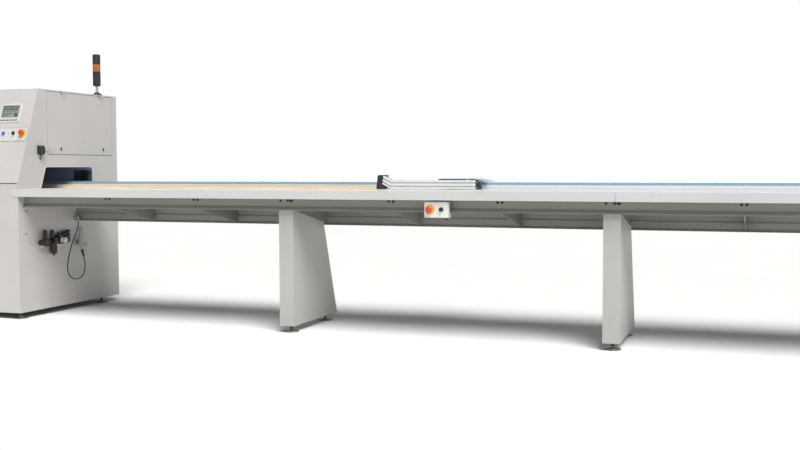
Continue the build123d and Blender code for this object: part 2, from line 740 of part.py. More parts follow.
with BuildPart() as table_estop:
    rod((table_estop_place[0], box_front - 4, table_estop_place[1]), stem, 24.0, "y")
    rod((table_estop_place[0], box_front - 24, table_estop_place[1]), 20.0, 16.0, "y")
    fillet(table_estop.faces().sort_by(Axis.Y)[0].edges(), 6)
save(table_estop, "table_estop")

with BuildPart() as feed_button:
    rod((feed_button_place[0], box_front - 1, feed_button_place[1]), stem, 18.0, "y")
    rod((feed_button_place[0], box_front - 13, feed_button_place[1]), 12.5, 6.0, "y")
save(feed_button, "feed_button")

# ---- Compressed-air units on the cabinet's side ----
unit_x = 32.0
regulator_y = 207.0
coil_y = 281.0
bowl_y = 296.0
side_gauge = (640.0, 466.0)      # the rear unit's gauge, in Y and Z
with BuildPart() as air_treatment:
    block((0, 6), (188.0, 470.0), (478, 530))
    block((6, 60), (186.0, 268.0), (486, 540))
    block((6, 60), (268.0, 332.0), (500, 540))
    block((6, 56), (332.0, 372.0), (490, 560))
    for number in range(3):
        y = 378.0 + 32 * number
        block((6, 52), (y, y + 28), (498, 574 + 8 * number))
    block((0, 50), (584.0, 628.0), (462, 560))
    block((20, 50), (628.0, side_gauge[0] + 8), (side_gauge[1] - 8, side_gauge[1] + 8))
    block((0, 14), (628.0, 650.0), (475, 500))
    rod((unit_x, 606.0, 566), 12.0, 12.0)
    rod((unit_x, regulator_y, 545), 9.0, 10.0)
    rod((unit_x, coil_y, 570), 16.0, 60.0)
    rod((unit_x, 183.0, 513), 9.0, 6.0, "y")
save(air_treatment, "air_treatment")

with BuildPart() as filter_bowl:
    rod((unit_x, bowl_y, 463), 26.0, 74.0)
    fillet(filter_bowl.faces().sort_by(Axis.Z)[0].edges(), 8)
    rod((unit_x, bowl_y, 419), 6.0, 14.0)
save(filter_bowl, "filter_bowl")

with BuildPart() as pressure_gauges:
    rod((66, 342.0, 523), 18.0, 12.0, "x")
    rod((58, 342.0, 523), 6.0, 4.0, "x")
    rod((60, *side_gauge), 18.0, 10.0, "x")
    rod((52.5, *side_gauge), 6.0, 5.0, "x")
save(pressure_gauges, "pressure_gauges")

air_knobs = {
    "regulator_knob": ((unit_x, regulator_y, 576.3), "z", 15.0, 52.0),
    "line_knob": ((unit_x, 606.0, 587.3), "z", 17.0, 30.0),
    "inlet_knob": ((unit_x, 164.7, 513), "y", 22.0, 30.0),
}
for label, (centre, axis, radius, length) in air_knobs.items():
    with BuildPart() as knob:
        rod(centre, radius, length, axis)
        chamfer(knob.edges().filter_by(GeomType.CIRCLE), 2)
    save(knob, label)

# ---- Air hose: from the fitting under the table, down in a loop and up to the coupling ----
hose_diameter = 8.0
hose_route = [
    (38, 568, 646), (38, 568, 612), (40, 545, 566), (42, 499, 508), (44, 462, 440),
    (46, 431, 364), (48, 420, 302), (48, 447, 250), (48, 512, 222), (46, 580, 227),
    (44, 627, 272), (42, 634, 336), (40, 619, 388),
]


def hose_radii(points):
    """The largest arc that each corner's two runs allow."""
    radii = []
    for before, corner, after in zip(points, points[1:], points[2:]):
        run_in = Vector(*corner) - Vector(*before)
        run_out = Vector(*after) - Vector(*corner)
        turn = math.radians(run_in.get_angle(run_out))
        radii.append(0.45 * min(run_in.length, run_out.length) / math.tan(turn / 2))
    return radii


radii = hose_radii(hose_route)
print("hose radii", [round(radius) for radius in radii])
hose_points = [at(*point) for point in hose_route]
with BuildPart() as air_hose:
    with BuildLine() as hose_line:
        FilletPolyline(*hose_points, radius=radii)
    with BuildSketch(Plane(origin=hose_points[0],
                           z_dir=Vector(*hose_points[1]) - Vector(*hose_points[0]))):
        Circle(hose_diameter / 2)
    sweep()
hose_length = sum(edge.length for edge in hose_line.edges())
hose_section = math.pi * hose_diameter ** 2 / 4
print("hose length", round(hose_length), "volume check",
      round(air_hose.part.volume / (hose_section * hose_length), 4))
save(air_hose, "air_hose")

coupling_start = Vector(*hose_points[-1])
coupling_run = (coupling_start - Vector(*hose_points[-2])).normalized()
with BuildPart() as hose_coupling:
    with BuildSketch(Plane(origin=coupling_start, z_dir=coupling_run)):
        Circle(7)
    extrude(amount=26)
    with BuildSketch(Plane(origin=coupling_start + coupling_run * 26, z_dir=coupling_run)):
        Circle(10)
    extrude(amount=44)
    block((26, 50), (556.0, 579.0), (646, 670))
    block((0, 26), (558.0, 577.0), (648, 668))
save(hose_coupling, "hose_coupling")
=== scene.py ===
"""Looks of a push-feed crosscut saw: an enclosed saw cabinet and a long infeed table whose
carriage pushes a board along a fence. It is laid out as an add-on and is run as a script.

Sizes in the making functions are millimetres from the datum, which is where the cabinet's
right side face, the table's front plane and the floor meet. One function, make(), turns them
into metres of the frame."""
import math

import bmesh
import bpy
import numpy as np
from bpy.props import FloatProperty, FloatVectorProperty, IntProperty, PointerProperty
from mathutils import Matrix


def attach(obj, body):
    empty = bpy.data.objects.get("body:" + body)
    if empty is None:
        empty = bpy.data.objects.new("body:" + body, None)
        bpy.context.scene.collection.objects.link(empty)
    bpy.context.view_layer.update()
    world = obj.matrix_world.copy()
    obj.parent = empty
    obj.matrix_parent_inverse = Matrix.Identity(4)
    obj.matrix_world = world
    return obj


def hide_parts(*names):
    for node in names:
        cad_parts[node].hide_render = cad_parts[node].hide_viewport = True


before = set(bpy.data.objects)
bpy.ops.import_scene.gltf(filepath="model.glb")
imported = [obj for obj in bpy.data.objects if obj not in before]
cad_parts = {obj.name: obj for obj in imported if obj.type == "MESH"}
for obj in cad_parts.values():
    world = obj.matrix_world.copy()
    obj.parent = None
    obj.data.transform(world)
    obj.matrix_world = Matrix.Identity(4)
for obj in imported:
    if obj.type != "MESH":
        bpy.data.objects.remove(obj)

bl_info = {
    "name": "Push-feed crosscut saw",
    "version": (1, 0, 0),
    "blender": (4, 5, 0),
    "location": "3D Viewport > Sidebar > Push saw",
    "description": "Adds the detailed pieces, finishes and studio of a push-feed crosscut saw",
    "category": "Add Mesh",
}

MM = 1000.0                                # millimetres in a metre
DATUM = np.array((-2.4, -0.535, 0.0))      # the datum, in metres of the frame

# The leaning front: its foot, and how far it runs in Y and Z for each millimetre up it.
FRONT_FOOT = (-24.0, 929.0)
SLOPE = (0.33218, 0.94322)

# For each direction that a shape's own z can take: where its x, y and z axes point.
AXES = {
    "z": ((1, 0, 0), (0, 1, 0), (0, 0, 1)),
    "-z": ((1, 0, 0), (0, -1, 0), (0, 0, -1)),
    "x": ((0, 1, 0), (0, 0, 1), (1, 0, 0)),
    "-x": ((0, -1, 0), (0, 0, 1), (-1, 0, 0)),
    "y": ((-1, 0, 0), (0, 0, 1), (0, 1, 0)),
    "-y": ((1, 0, 0), (0, 0, 1), (0, -1, 0)),
    "front": ((1, 0, 0), (0, SLOPE[0], SLOPE[1]), (0, -SLOPE[1], SLOPE[0])),
}

# ---- Sizes and colours that a user would change ----
def linear(code):
    """An sRGB hex colour as linear values: a channel c up to 0.04045 is divided by 12.92, and
    a brighter one is ((c + 0.055) / 1.055) to the power 2.4."""
    c = np.array([int(code[i:i + 2], 16) for i in (0, 2, 4)]) / 255
    return (*np.where(c <= 0.04045, c / 12.92, ((c + 0.055) / 1.055) ** 2.4).tolist(), 1.0)


def colour(name, description, code):
    """A colour property whose default is an sRGB hex colour."""
    return FloatVectorProperty(name=name, description=description, subtype="COLOR", size=4,
                               min=0.0, max=1.0, default=linear(code))


def length(name, description, millimetres):
    """A length property whose default is given in millimetres."""
    return FloatProperty(name=name, description=description, unit="LENGTH", min=0.0001,
                         precision=4, default=millimetres / MM)


class PushSawColours(bpy.types.PropertyGroup):
    """Base colours of the finishes."""
    cabinet_coat: colour("Cabinet coat", "Powder coat of the cabinet", "BDBAB7")
    leg_coat: colour("Leg coat", "Powder coat of the legs", "AFAFAB")
    fascia_coat: colour("Fascia coat", "Powder coat of the fascia and the panels", "C4C4C4")
    table_coat: colour("Table coat", "Gloss powder coat of the table top", "E6E7E8")
    # Tunnel paint: lifted from dark navy to pale blue, as painted light for the dim tunnel.
    frame_coat_painted_shade: colour("Frame coat", "Powder coat of the table beams", "888883")
    # Frame coat: darker than the real coat, as painted shade for the shade under the table.
    inner_coat: colour("Inner coat", "Powder coat inside the cabinet", "A9A9A5")
    tunnel_paint_painted_light: colour("Tunnel paint", "Navy satin paint of the infeed tunnel", "9AA2C0")
    beam_blue: colour("Beam blue", "Gloss enamel of guide beam and carriage hood", "78A2C2")
    motor_grey: colour("Motor grey", "Hammered enamel of the motors", "5A6064")
    ground_steel: colour("Ground steel", "Ground bed and machined parts", "A9ABAC")
    dark_steel: colour("Blackened steel", "Black-oxide screws and studs", "3B3B3C")
    bright_zinc: colour("Bright zinc", "Zinc-plated nuts, rails and fittings", "C9CACA")
    galvanised: colour("Galvanised sheet", "Spigot on the roof", "B4B8BA")
    aluminium: colour("Anodised aluminium", "Pusher arm, fence and plates", "E6E6E4")
    brass: colour("Dull brass", "Shut-off valve's body", "5E523A")
    abs_black: colour("Black moulding", "Moulded housings, knobs and head", "262626")
    abs_grey: colour("Grey moulding", "Console bezel and keys", "C6C6C1")
    rubber: colour("Black rubber", "Belt, pads and seals", "1E1E1F")
    pad_brown: colour("Brown rubber", "Pushing pad of the head", "4A3A34")
    hose_black: colour("Hose black", "Polyurethane air hose", "26272A")
    stop_red: colour("Stop red", "Emergency-stop mushroom", "C4402F")
    stop_yellow: colour("Stop yellow", "Emergency-stop collar", "E3B232")
    reset_blue: colour("Reset blue", "Reset button's cap", "2E6FD6")
    signal_amber: colour("Signal amber", "Lamp's lens", "C8741F")
    screen_green: colour("Screen", "Liquid-crystal panel", "8F9A96")
    screen_dark: colour("Screen fields", "Dark fields on the panel", "4A5856")
    dial_white: colour("Dial white", "Gauge dials", "EFEFEA")
    timber: colour("Timber", "Planed softwood", "E6D2B2")
    floor_white: colour("Floor", "Studio floor", "ECEBE9")


class PushSawSizes(bpy.types.PropertyGroup):
    """Sizes of the detailed pieces."""
    foot_radius: length("Foot radius", "Radius of a levelling foot", 47.5)
    stud_radius: length("Stud radius", "Radius of a foot's threaded stud", 8.0)
    stop_radius: length("Stop radius", "Radius of an emergency-stop mushroom", 20.0)
    collar_radius: length("Collar radius", "Radius of the yellow collar", 30.0)
    lamp_radius: length("Lamp radius", "Radius of the signal lamp's body", 29.0)
    gauge_radius: length("Gauge radius", "Radius of a pressure gauge", 18.0)
    bowl_radius: length("Bowl radius", "Radius of the filter's bowl", 26.0)
    hose_diameter: length("Hose diameter", "Outside diameter of the air hose", 8.0)
    belt_pitch: length("Belt pitch", "Pitch of the toothed belt", 10.0)
    blade_radius: length("Blade radius", "Radius of the saw blade over its teeth", 252.5)
    blade_teeth: IntProperty(name="Blade teeth", description="Teeth on the saw blade",
                             default=60, min=12, max=120)
    rail_pitch: length("Rail screw pitch", "Pitch of the guide rails' screws", 60.0)
    lens_length: length("Lens", "Focal length of the camera's lens", 46.25)


def colours():
    return bpy.context.scene.push_saw_colours


def sizes():
    return bpy.context.scene.push_saw_sizes

# ---- Shapes: points in rows, corners of faces, and each face's number of corners ----
def skin(rings, loop=False):
    """Quads between neighbouring closed rings of points (rings x points x 3). The two ends are
    closed by one face each, or the last ring joins the first."""
    rings = np.asarray(rings, float)
    rows, cols = rings.shape[:2]
    i = np.arange(rows if loop else rows - 1)[:, None]
    j = np.arange(cols)[None, :]
    after, above = (j + 1) % cols, (i + 1) % rows
    quads = np.stack(np.broadcast_arrays(i * cols + j, i * cols + after,
                                         above * cols + after, above * cols + j), -1)
    corners, counts = quads.reshape(-1), np.full(quads.shape[0] * cols, 4)
    if not loop:
        ends = np.arange(cols)[::-1], np.arange((rows - 1) * cols, rows * cols)
        corners = np.concatenate([corners, *ends])
        counts = np.append(counts, [cols, cols])
    return rings.reshape(-1, 3), corners, counts


def join(*shapes):
    """Several shapes as one."""
    starts = np.cumsum([0] + [len(shape[0]) for shape in shapes[:-1]])
    return (np.concatenate([shape[0] for shape in shapes]),
            np.concatenate([shape[1] + start for shape, start in zip(shapes, starts)]),
            np.concatenate([shape[2] for shape in shapes]))


def repeat(shape, places):
    """A copy of the shape at each place: its points plus the place's offset."""
    places = np.asarray(places, float)
    points, corners, counts = shape
    spread = (points[None] + places[:, None]).reshape(-1, 3)
    starts = np.arange(len(places))[:, None] * len(points)
    return spread, (corners[None] + starts).reshape(-1), np.tile(counts, len(places))


def put(shape, axis="z", place=(0, 0, 0)):
    """The shape with its z along one of AXES and its origin at the place."""
    return shape[0] @ np.array(AXES[axis], float) + np.array(place, float), *shape[1:]


def aim(shape, place, towards):
    """The shape with its z pointing from the place towards another point."""
    z = np.subtract(towards, place).astype(float)
    z /= np.linalg.norm(z)
    x = np.cross((0, 1, 0), z) if abs(z[1]) < 0.9 else np.cross((1, 0, 0), z)
    x /= np.linalg.norm(x)
    return shape[0] @ np.array((x, np.cross(z, x), z)) + np.array(place, float), *shape[1:]


def on_front(shape, x, up, out=0.0):
    """The shape on the leaning front, its z outwards, at X and a distance up the slope."""
    y = FRONT_FOOT[0] + SLOPE[0] * up - SLOPE[1] * out
    return put(shape, "front", (x, y, FRONT_FOOT[1] + SLOPE[1] * up + SLOPE[0] * out))


def lathe(profile, sides=32, flutes=0, depth=0.0, band=(0.0, 0.0), loop=False):
    """Surface of revolution: the point (r cos t, r sin t, h) for each (r, h) of the profile.
    Between the band's heights r loses depth times (1 - cos(flutes t)) / 2."""
    r, h = np.array(profile, float).T
    t = np.arange(sides) * math.tau / sides
    banded = ((h >= band[0]) & (h <= band[1]))[:, None]
    radius = r[:, None] - depth * (1 - np.cos(flutes * t)) / 2 * banded
    height = np.broadcast_to(h[:, None], radius.shape)
    return skin(np.stack([radius * np.cos(t), radius * np.sin(t), height], -1), loop)


def rounded(xs, ys, r, steps=4):
    """Rectangle with corner arcs: centre plus r times (cos, sin), anticlockwise."""
    centres = ((xs[1] - r, ys[0] + r, -90), (xs[1] - r, ys[1] - r, 0),
               (xs[0] + r, ys[1] - r, 90), (xs[0] + r, ys[0] + r, 180))
    turn = np.radians(np.linspace(0, 90, steps + 1))
    return np.concatenate([np.stack([x + r * np.cos(math.radians(a) + turn),
                                     y + r * np.sin(math.radians(a) + turn)], -1)
                           for x, y, a in centres])


def polygon(radius, sides, turn=0.0):
    """Regular polygon by its corner radius."""
    t = np.arange(sides) * math.tau / sides + turn
    return np.stack([radius * np.cos(t), radius * np.sin(t)], -1)


def inset(outline, amount):
    """Each corner moves along its mitre, so that its two sides come in by the amount."""
    outline = np.asarray(outline, float)
    sides = np.roll(outline, -1, 0) - outline
    inward = np.stack([-sides[:, 1], sides[:, 0]], -1)
    inward /= np.linalg.norm(inward, axis=1, keepdims=True)
    before = np.roll(inward, 1, 0)
    mitre = (before + inward) / (1 + (before * inward).sum(1, keepdims=True))
    return outline + amount * mitre


def prism(outline, levels, loop=False):
    """The outline at each (height, inset) of the levels, as rings."""
    return skin([np.column_stack([inset(outline, i), np.full(len(outline), h)])
                 for h, i in levels], loop)


def bevelled(outline, low, high, bevel=1.0):
    """A prism whose two ends are bevelled."""
    return prism(outline, ((low, bevel), (low + bevel, 0), (high - bevel, 0), (high, bevel)))


def slab(xs, ys, zs, r=2.0, bevel=0.8):
    """A block with rounded upright edges and bevelled ends."""
    return bevelled(rounded(xs, ys, r), *zs, bevel)


def collar(outline, inner, low, high, bevel=0.8):
    """A flat ring between two outlines with the same number of corners: rings at the outer
    wall going up and at the inner wall going down."""
    rows = ((outline, low, 0), (outline, high - bevel, 0), (outline, high, bevel),
            (inner, high, -bevel), (inner, high - bevel, 0), (inner, low, 0))
    return skin([np.column_stack([inset(line, i), np.full(len(line), h)])
                 for line, h, i in rows], loop=True)


def pipe(path, radius, sides=12):
    """Rings square to a path of points; each ring's first radius leans on the one axis that
    the path follows least."""
    path = np.asarray(path, float)
    along = np.gradient(path, axis=0)
    along /= np.linalg.norm(along, axis=1, keepdims=True)
    rest = np.eye(3)[np.abs(along).max(0).argmin()]
    across = np.cross(along, rest)
    across /= np.linalg.norm(across, axis=1, keepdims=True)
    t = (np.arange(sides) * math.tau / sides)[None, :, None]
    ring = np.cos(t) * across[:, None] + np.sin(t) * np.cross(along, across)[:, None]
    return skin(path[:, None] + radius * ring)


def bend(start, corner, end, steps=8):
    """Points of a quadratic curve that leaves start and reaches end towards the corner."""
    t = np.linspace(0, 1, steps)[:, None]
    start, corner, end = (np.array(p, float) for p in (start, corner, end))
    return (1 - t) ** 2 * start + 2 * t * (1 - t) * corner + t ** 2 * end


def button_head(radius=4.0, height=2.2, sides=16):
    """A low domed screw head with a hexagon recess."""
    return join(lathe(((radius, 0), (radius, height * 0.35), (radius * 0.8, height * 0.8),
                       (radius * 0.5, height), (radius * 0.45, height * 0.98)), sides),
                prism(polygon(radius * 0.42, 6), ((height * 0.95, 0), (height * 1.02, 0.05))))


def hex_bolt(across, height, washer=0.0):
    """A hexagon bolt head, chamfered on top, on its washer."""
    outline = polygon(across / math.sqrt(3), 6)
    head = prism(outline, ((washer, 0), (washer + height * 0.85, 0),
                           (washer + height, across * 0.06)))
    if not washer:
        return head
    return join(head, lathe(((across, 0), (across, washer * 0.7), (across * 0.96, washer)), 20))


def make(name, groups, body, replaces=()):
    """One piece from {finish: shapes}: its points become metres of the frame, its closed shells
    face outwards, and it rides on a body."""
    shapes = [shape for group in groups.values() for shape in group]
    points, corners, counts = join(*shapes)
    numbers = [np.full(sum(len(s[2]) for s in group), n) for n, group in enumerate(groups.values())]
    mesh = bpy.data.meshes.new(name)
    mesh.vertices.add(len(points))
    mesh.vertices.foreach_set("co", (points / MM + DATUM).astype(np.float32).reshape(-1))
    mesh.loops.add(len(corners))
    mesh.loops.foreach_set("vertex_index", corners.astype(np.int32))
    mesh.polygons.add(len(counts))
    starts = np.concatenate([[0], np.cumsum(counts)[:-1]]).astype(np.int32)
    mesh.polygons.foreach_set("loop_start", starts)
    for finish in groups:
        mesh.materials.append(bpy.data.materials[finish])
    mesh.polygons.foreach_set("material_index", np.concatenate(numbers).astype(np.int32))
    mesh.update(calc_edges=True)
    shell = bmesh.new()
    shell.from_mesh(mesh)
    bmesh.ops.remove_doubles(shell, verts=shell.verts, dist=1e-6)
    bmesh.ops.recalc_face_normals(shell, faces=shell.faces)
    shell.to_mesh(mesh)
    shell.free()
    mesh.shade_smooth()
    mesh.set_sharp_from_angle(angle=math.radians(32))
    piece = bpy.data.objects.new(name, mesh)
    bpy.context.scene.collection.objects.link(piece)
    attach(piece, body)
    if replaces:
        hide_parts(*replaces)
    return piece

# ---- Finishes ----
def add(tree, kind, values=None, links=None):
    """Adds a node, sets its properties and its inputs by name, and links its other inputs."""
    node = tree.nodes.new("ShaderNode" + kind)
    for key, value in (values or {}).items():
        if isinstance(key, str) and hasattr(node, key):
            setattr(node, key, value)
        else:
            node.inputs[key].default_value = value
    for key, socket in (links or {}).items():
        tree.links.new(socket, node.inputs[key])
    return node


def surface(name, base, roughness, metallic=0.0, grain=(1.6, 1.6, 1.6), relief=0.02, spread=0.05,
            patch=260.0, patch_depth=0.06, dust=0.0, cells=False, **sockets):
    """A finish on object coordinates. A fine pattern of grain millimetres along X, Y and Z
    lightens and darkens the colour by spread, shifts the roughness and lifts the surface by
    relief millimetres; patches of patch millimetres fade it by patch_depth; dust greys it
    towards the floor, below a quarter of a metre."""
    material = bpy.data.materials.new(name)
    material.use_nodes = True
    material.diffuse_color = base
    tree = material.node_tree
    shader = tree.nodes["Principled BSDF"]
    place = add(tree, "TexCoord").outputs["Object"]
    scaled = add(tree, "Mapping", {"Scale": [MM / size for size in grain]}, {"Vector": place})
    if cells:
        fine = add(tree, "TexVoronoi", {"Scale": 1.0, "Randomness": 1.0},
                   {"Vector": scaled.outputs[0]}).outputs["Color"]
    else:
        fine = add(tree, "TexNoise", {"Scale": 1.0, "Detail": 2.0, "Roughness": 0.55},
                   {"Vector": scaled.outputs[0]}).outputs["Fac"]
    broad = add(tree, "TexNoise", {"Scale": MM / patch, "Detail": 3.0}, {"Vector": place})
    shade = add(tree, "MapRange", {"From Min": 0.3, "From Max": 0.7, "To Min": 1 - spread,
                                   "To Max": 1 + spread * 0.4}, {"Value": fine}).outputs[0]
    fade = add(tree, "MapRange", {"From Min": 0.3, "From Max": 0.7, "To Min": 1 - patch_depth,
                                  "To Max": 1.0}, {"Value": broad.outputs["Fac"]}).outputs[0]
    both = add(tree, "Math", {"operation": "MULTIPLY"}, {0: shade, 1: fade}).outputs[0]
    if dust:
        height = add(tree, "SeparateXYZ", links={0: place}).outputs["Z"]
        low = add(tree, "MapRange", {"From Max": 0.25, "To Min": 1 - dust, "To Max": 1.0},
                  {"Value": height}).outputs[0]
        both = add(tree, "Math", {"operation": "MULTIPLY"}, {0: both, 1: low}).outputs[0]
    tinted = add(tree, "VectorMath", {"operation": "SCALE", 0: base[:3]}, {"Scale": both})
    tree.links.new(tinted.outputs[0], shader.inputs["Base Color"])
    gloss = add(tree, "MapRange", {"To Min": max(roughness - 0.07, 0.02),
                                   "To Max": min(roughness + 0.07, 1.0)}, {"Value": fine})
    tree.links.new(gloss.outputs[0], shader.inputs["Roughness"])
    if relief:
        bump = add(tree, "Bump", {"Strength": 1.0, "Distance": relief / MM}, {"Height": fine})
        tree.links.new(bump.outputs[0], shader.inputs["Normal"])
    shader.inputs["Metallic"].default_value = metallic
    for socket, value in sockets.items():
        shader.inputs[socket.replace("_", " ")].default_value = value
    return material


def planed_timber(name, base):
    """Planed softwood: growth lines run along the board and bend round a few knots, which
    shows as tan bands 9 mm apart that the planer has left matt."""
    material = surface(name, base, 0.6, grain=(160.0, 1.2, 1.2), relief=0.05, spread=0.12,
                       patch=900.0, patch_depth=0.1)
    tree, shader = material.node_tree, material.node_tree.nodes["Principled BSDF"]
    place = add(tree, "TexCoord").outputs["Object"]
    stretched = add(tree, "Mapping", {"Scale": (0.12, 1.0, 1.0)}, {"Vector": place})
    rings = add(tree, "TexWave", {"wave_type": "RINGS", "rings_direction": "X",
                                  "Scale": MM / 9.0 / 6.3, "Distortion": 3.5, "Detail": 2.0,
                                  "Detail Scale": 1.5}, {"Vector": stretched.outputs[0]})
    ramp = add(tree, "ValToRGB", links={"Fac": rings.outputs["Fac"]})
    ramp.color_ramp.elements[0].color = (0.8, 0.68, 0.56, 1)
    ramp.color_ramp.elements[1].position = 0.55
    ramp.color_ramp.elements[1].color = (1, 1, 1, 1)
    before = shader.inputs["Base Color"].links[0].from_socket
    grown = add(tree, "VectorMath", {"operation": "MULTIPLY"}, {0: before, 1: ramp.outputs[0]})
    tree.links.new(grown.outputs[0], shader.inputs["Base Color"])
    return material


def make_finishes():
    """Every finish of the machine, each from what the real surface is."""
    c = colours()
    # Fine-texture powder coat over sheet steel: pale, even and half matt, with an orange-peel
    # skin of about 1.6 mm and a little dust near the floor.
    surface("powder_coat_light", c.cabinet_coat, 0.46, dust=0.08)
    # The same coat on the folded fascia, a little brighter and smoother.
    surface("powder_coat_fascia", c.fascia_coat, 0.42, patch=400.0)
    # Powder coat on the welded legs, dusty at the foot.
    surface("powder_coat_legs", c.leg_coat, 0.48, dust=0.1)
    # Gloss powder coat on the table plate that boards slide over.
    surface("powder_coat_gloss", c.table_coat, 0.3, patch=400.0)
    # Grey coat on the welded beams and ribs under the table, darkened to mid-grey past the coat's own
    # tone: painted shade for the shade under the table.
    surface("grey_coat_painted_shade", c.frame_coat_painted_shade, 0.5)
    # Plain coat inside the cabinet, patchy where chips have rubbed it.
    surface("powder_coat_inner", c.inner_coat, 0.55, patch_depth=0.15)
    # Satin brush paint inside the tunnel, slightly streaky along the feed: the paint is dark navy,
    # and its colour is lifted to a pale blue as painted light for the dim inside of the tunnel.
    surface("navy_satin_painted_light", c.tunnel_paint_painted_light, 0.42, grain=(30.0, 3.0, 3.0), spread=0.15)
    # Gloss enamel on the guide beam: clear blue with a wet edge.
    surface("gloss_blue_enamel", c.beam_blue, 0.28, relief=0.012, Coat_Weight=0.35)
    # Hammered enamel on castings: 4 mm dimples.
    surface("hammered_enamel", c.motor_grey, 0.38, grain=(4.0, 4.0, 4.0), relief=0.12)
    # Surface-ground steel: lines across the feed, 1 mm apart as drawn.
    surface("ground_steel", c.ground_steel, 0.32, 1.0, grain=(1.0, 60.0, 1.0), spread=0.12)
    # Black-oxide steel: screws and threaded studs, oily dark grey.
    surface("blackened_steel", c.dark_steel, 0.45, 0.7, spread=0.15)
    # Zinc plating: cool and bright, with faint clouds.
    surface("bright_zinc", c.bright_zinc, 0.28, 1.0, patch=40.0, patch_depth=0.12)
    # Hot-dip galvanising: 12 mm spangle cells of different greys.
    surface("galvanised_sheet", c.galvanised, 0.42, 0.9, grain=(12.0, 12.0, 12.0), spread=0.25,
            relief=0.0, cells=True)
    # Anodised extrusion: drawn lines along the profile under a satin skin.
    surface("anodised_aluminium", c.aluminium, 0.38, 0.4, grain=(220.0, 1.1, 1.1), spread=0.06)
    # Cast and machined brass that has gone dull in workshop air.
    surface("dull_brass", c.brass, 0.42, 0.9, grain=(3.0, 3.0, 3.0), spread=0.2, patch=30.0,
            patch_depth=0.3)
    # Moulded glass-filled nylon and ABS: black, matt from a spark-eroded mould.
    surface("moulded_black", c.abs_black, 0.5, grain=(1.0, 1.0, 1.0), relief=0.03)
    surface("moulded_grey", c.abs_grey, 0.45, grain=(1.0, 1.0, 1.0), relief=0.02)
    # Nitrile and polyurethane rubber: deep matt black, slightly greyed by wood dust.
    surface("black_rubber", c.rubber, 0.75, grain=(2.0, 2.0, 2.0), patch=60.0, patch_depth=0.2)
    surface("brown_rubber", c.pad_brown, 0.7, grain=(2.0, 2.0, 2.0), spread=0.15)
    # Extruded polyurethane tube: smooth and waxy.
    surface("polyurethane_tube", c.hose_black, 0.38, grain=(3.0, 3.0, 3.0), relief=0.01)
    # Polished moulded caps: clean saturated plastic with a clear gloss.
    for name, base in (("stop_red", c.stop_red), ("stop_yellow", c.stop_yellow),
                       ("reset_blue", c.reset_blue)):
        surface(f"polished_{name}", base, 0.28, grain=(1.5, 1.5, 1.5), relief=0.008,
                spread=0.03, Coat_Weight=0.3)
    # Tinted polycarbonate lens: orange right through, lit by what is behind its prisms.
    surface("amber_polycarbonate", c.signal_amber, 0.2, grain=(2.0, 2.0, 2.0), relief=0.0,
            spread=0.08, Transmission_Weight=0.35, IOR=1.58)
    # Clear polycarbonate sheet: nearly colourless, with faint scuffs.
    surface("clear_polycarbonate", linear("DCE4E6"), 0.08, relief=0.0, spread=0.02,
            Transmission_Weight=0.92, IOR=1.58)
    # Gauge glass: flat, clean acrylic.
    surface("gauge_glass", linear("F4F6F6"), 0.05, relief=0.0, spread=0.01,
            Transmission_Weight=0.95, IOR=1.49)
    # Reflective liquid-crystal panel: grey-green, a little darker in patches.
    surface("liquid_crystal", c.screen_green, 0.22, patch=70.0, patch_depth=0.25, relief=0.0,
            Coat_Weight=0.5)
    surface("crystal_fields", c.screen_dark, 0.22, patch=20.0, patch_depth=0.3, relief=0.0)
    # Screen-printed enamel dial: flat white.
    surface("dial_enamel", c.dial_white, 0.35, relief=0.0, spread=0.02)
    # Silvery label-free aluminium plate, brushed across.
    surface("brushed_plate", c.aluminium, 0.4, 0.35, grain=(90.0, 0.9, 0.9), spread=0.08)
    planed_timber("planed_timber", c.timber)

# Which finish each carried-over CAD node takes.
NODE_FINISH = {
    "powder_coat_light": ("right_side_panel", "left_side_panel", "front_lower_panel",
                          "front_slant_panel", "roof_panel", "rear_panel", "side_hatch",
                          "front_hood"),
    "powder_coat_fascia": ("fascia", "control_box"),
    "powder_coat_legs": ("table_legs",),
    "powder_coat_gloss": ("table_top",),
    "grey_coat_painted_shade": ("table_frame",),
    "powder_coat_inner": ("cabinet_frame", "arm_bracket", "clamp_bridge"),
    "navy_satin_painted_light": ("infeed_tunnel", "saw_arm"),
    "gloss_blue_enamel": ("guide_beam", "carriage_hood"),
    "hammered_enamel": ("saw_motor", "gear_motor"),
    "ground_steel": ("saw_bed", "saw_arbor", "saw_blade", "carriage_plate"),
    "bright_zinc": ("hinge_knuckles", "hatch_lock_front", "hatch_lock_rear",
                    "pressure_gauges", "hose_coupling"),
    "galvanised_sheet": ("extraction_spigot",),
    "anodised_aluminium": ("pusher_arm", "back_fence", "idler_pulley", "drive_pulley"),
    "moulded_grey": ("console_plate",),
    "moulded_black": ("pusher_head", "arm_end_cap", "interlock_switch", "stack_light_body",
                      "filter_bowl", "regulator_knob", "line_knob", "inlet_knob",
                      "feed_button", "mode_selector", "air_treatment"),
    "black_rubber": ("feed_belt", "levelling_feet", "clamp_shoe"),
    "polyurethane_tube": ("air_hose",),
    "polished_stop_red": ("console_estop", "table_estop"),
    "polished_stop_yellow": ("estop_collars",),
    "polished_reset_blue": ("reset_button",),
    "amber_polycarbonate": ("stack_light_lens",),
    "liquid_crystal": ("console_screen",),
    "clear_polycarbonate": ("hood_window",),
    "planed_timber": ("board",),
}


class PUSHSAW_OT_finishes(bpy.types.Operator):
    """Makes every finish and gives the carried-over CAD pieces theirs"""
    bl_idname = "pushsaw.finishes"
    bl_label = "Finishes"

    def execute(self, context):
        make_finishes()
        for finish, nodes in NODE_FINISH.items():
            for node in nodes:
                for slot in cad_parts[node].material_slots:
                    slot.material = bpy.data.materials[finish]
        return {"FINISHED"}

# ---- Camera, floor and light ----
CAMERA_PLACE = (2.388, -6.243, 1.024)
CAMERA_TURN = (86.845, 0.148, 19.709)      # degrees about X, Y and Z
FLOOR_RADIUS = 70.0                        # metres
SURROUND_HEIGHT = 16.0                     # metres


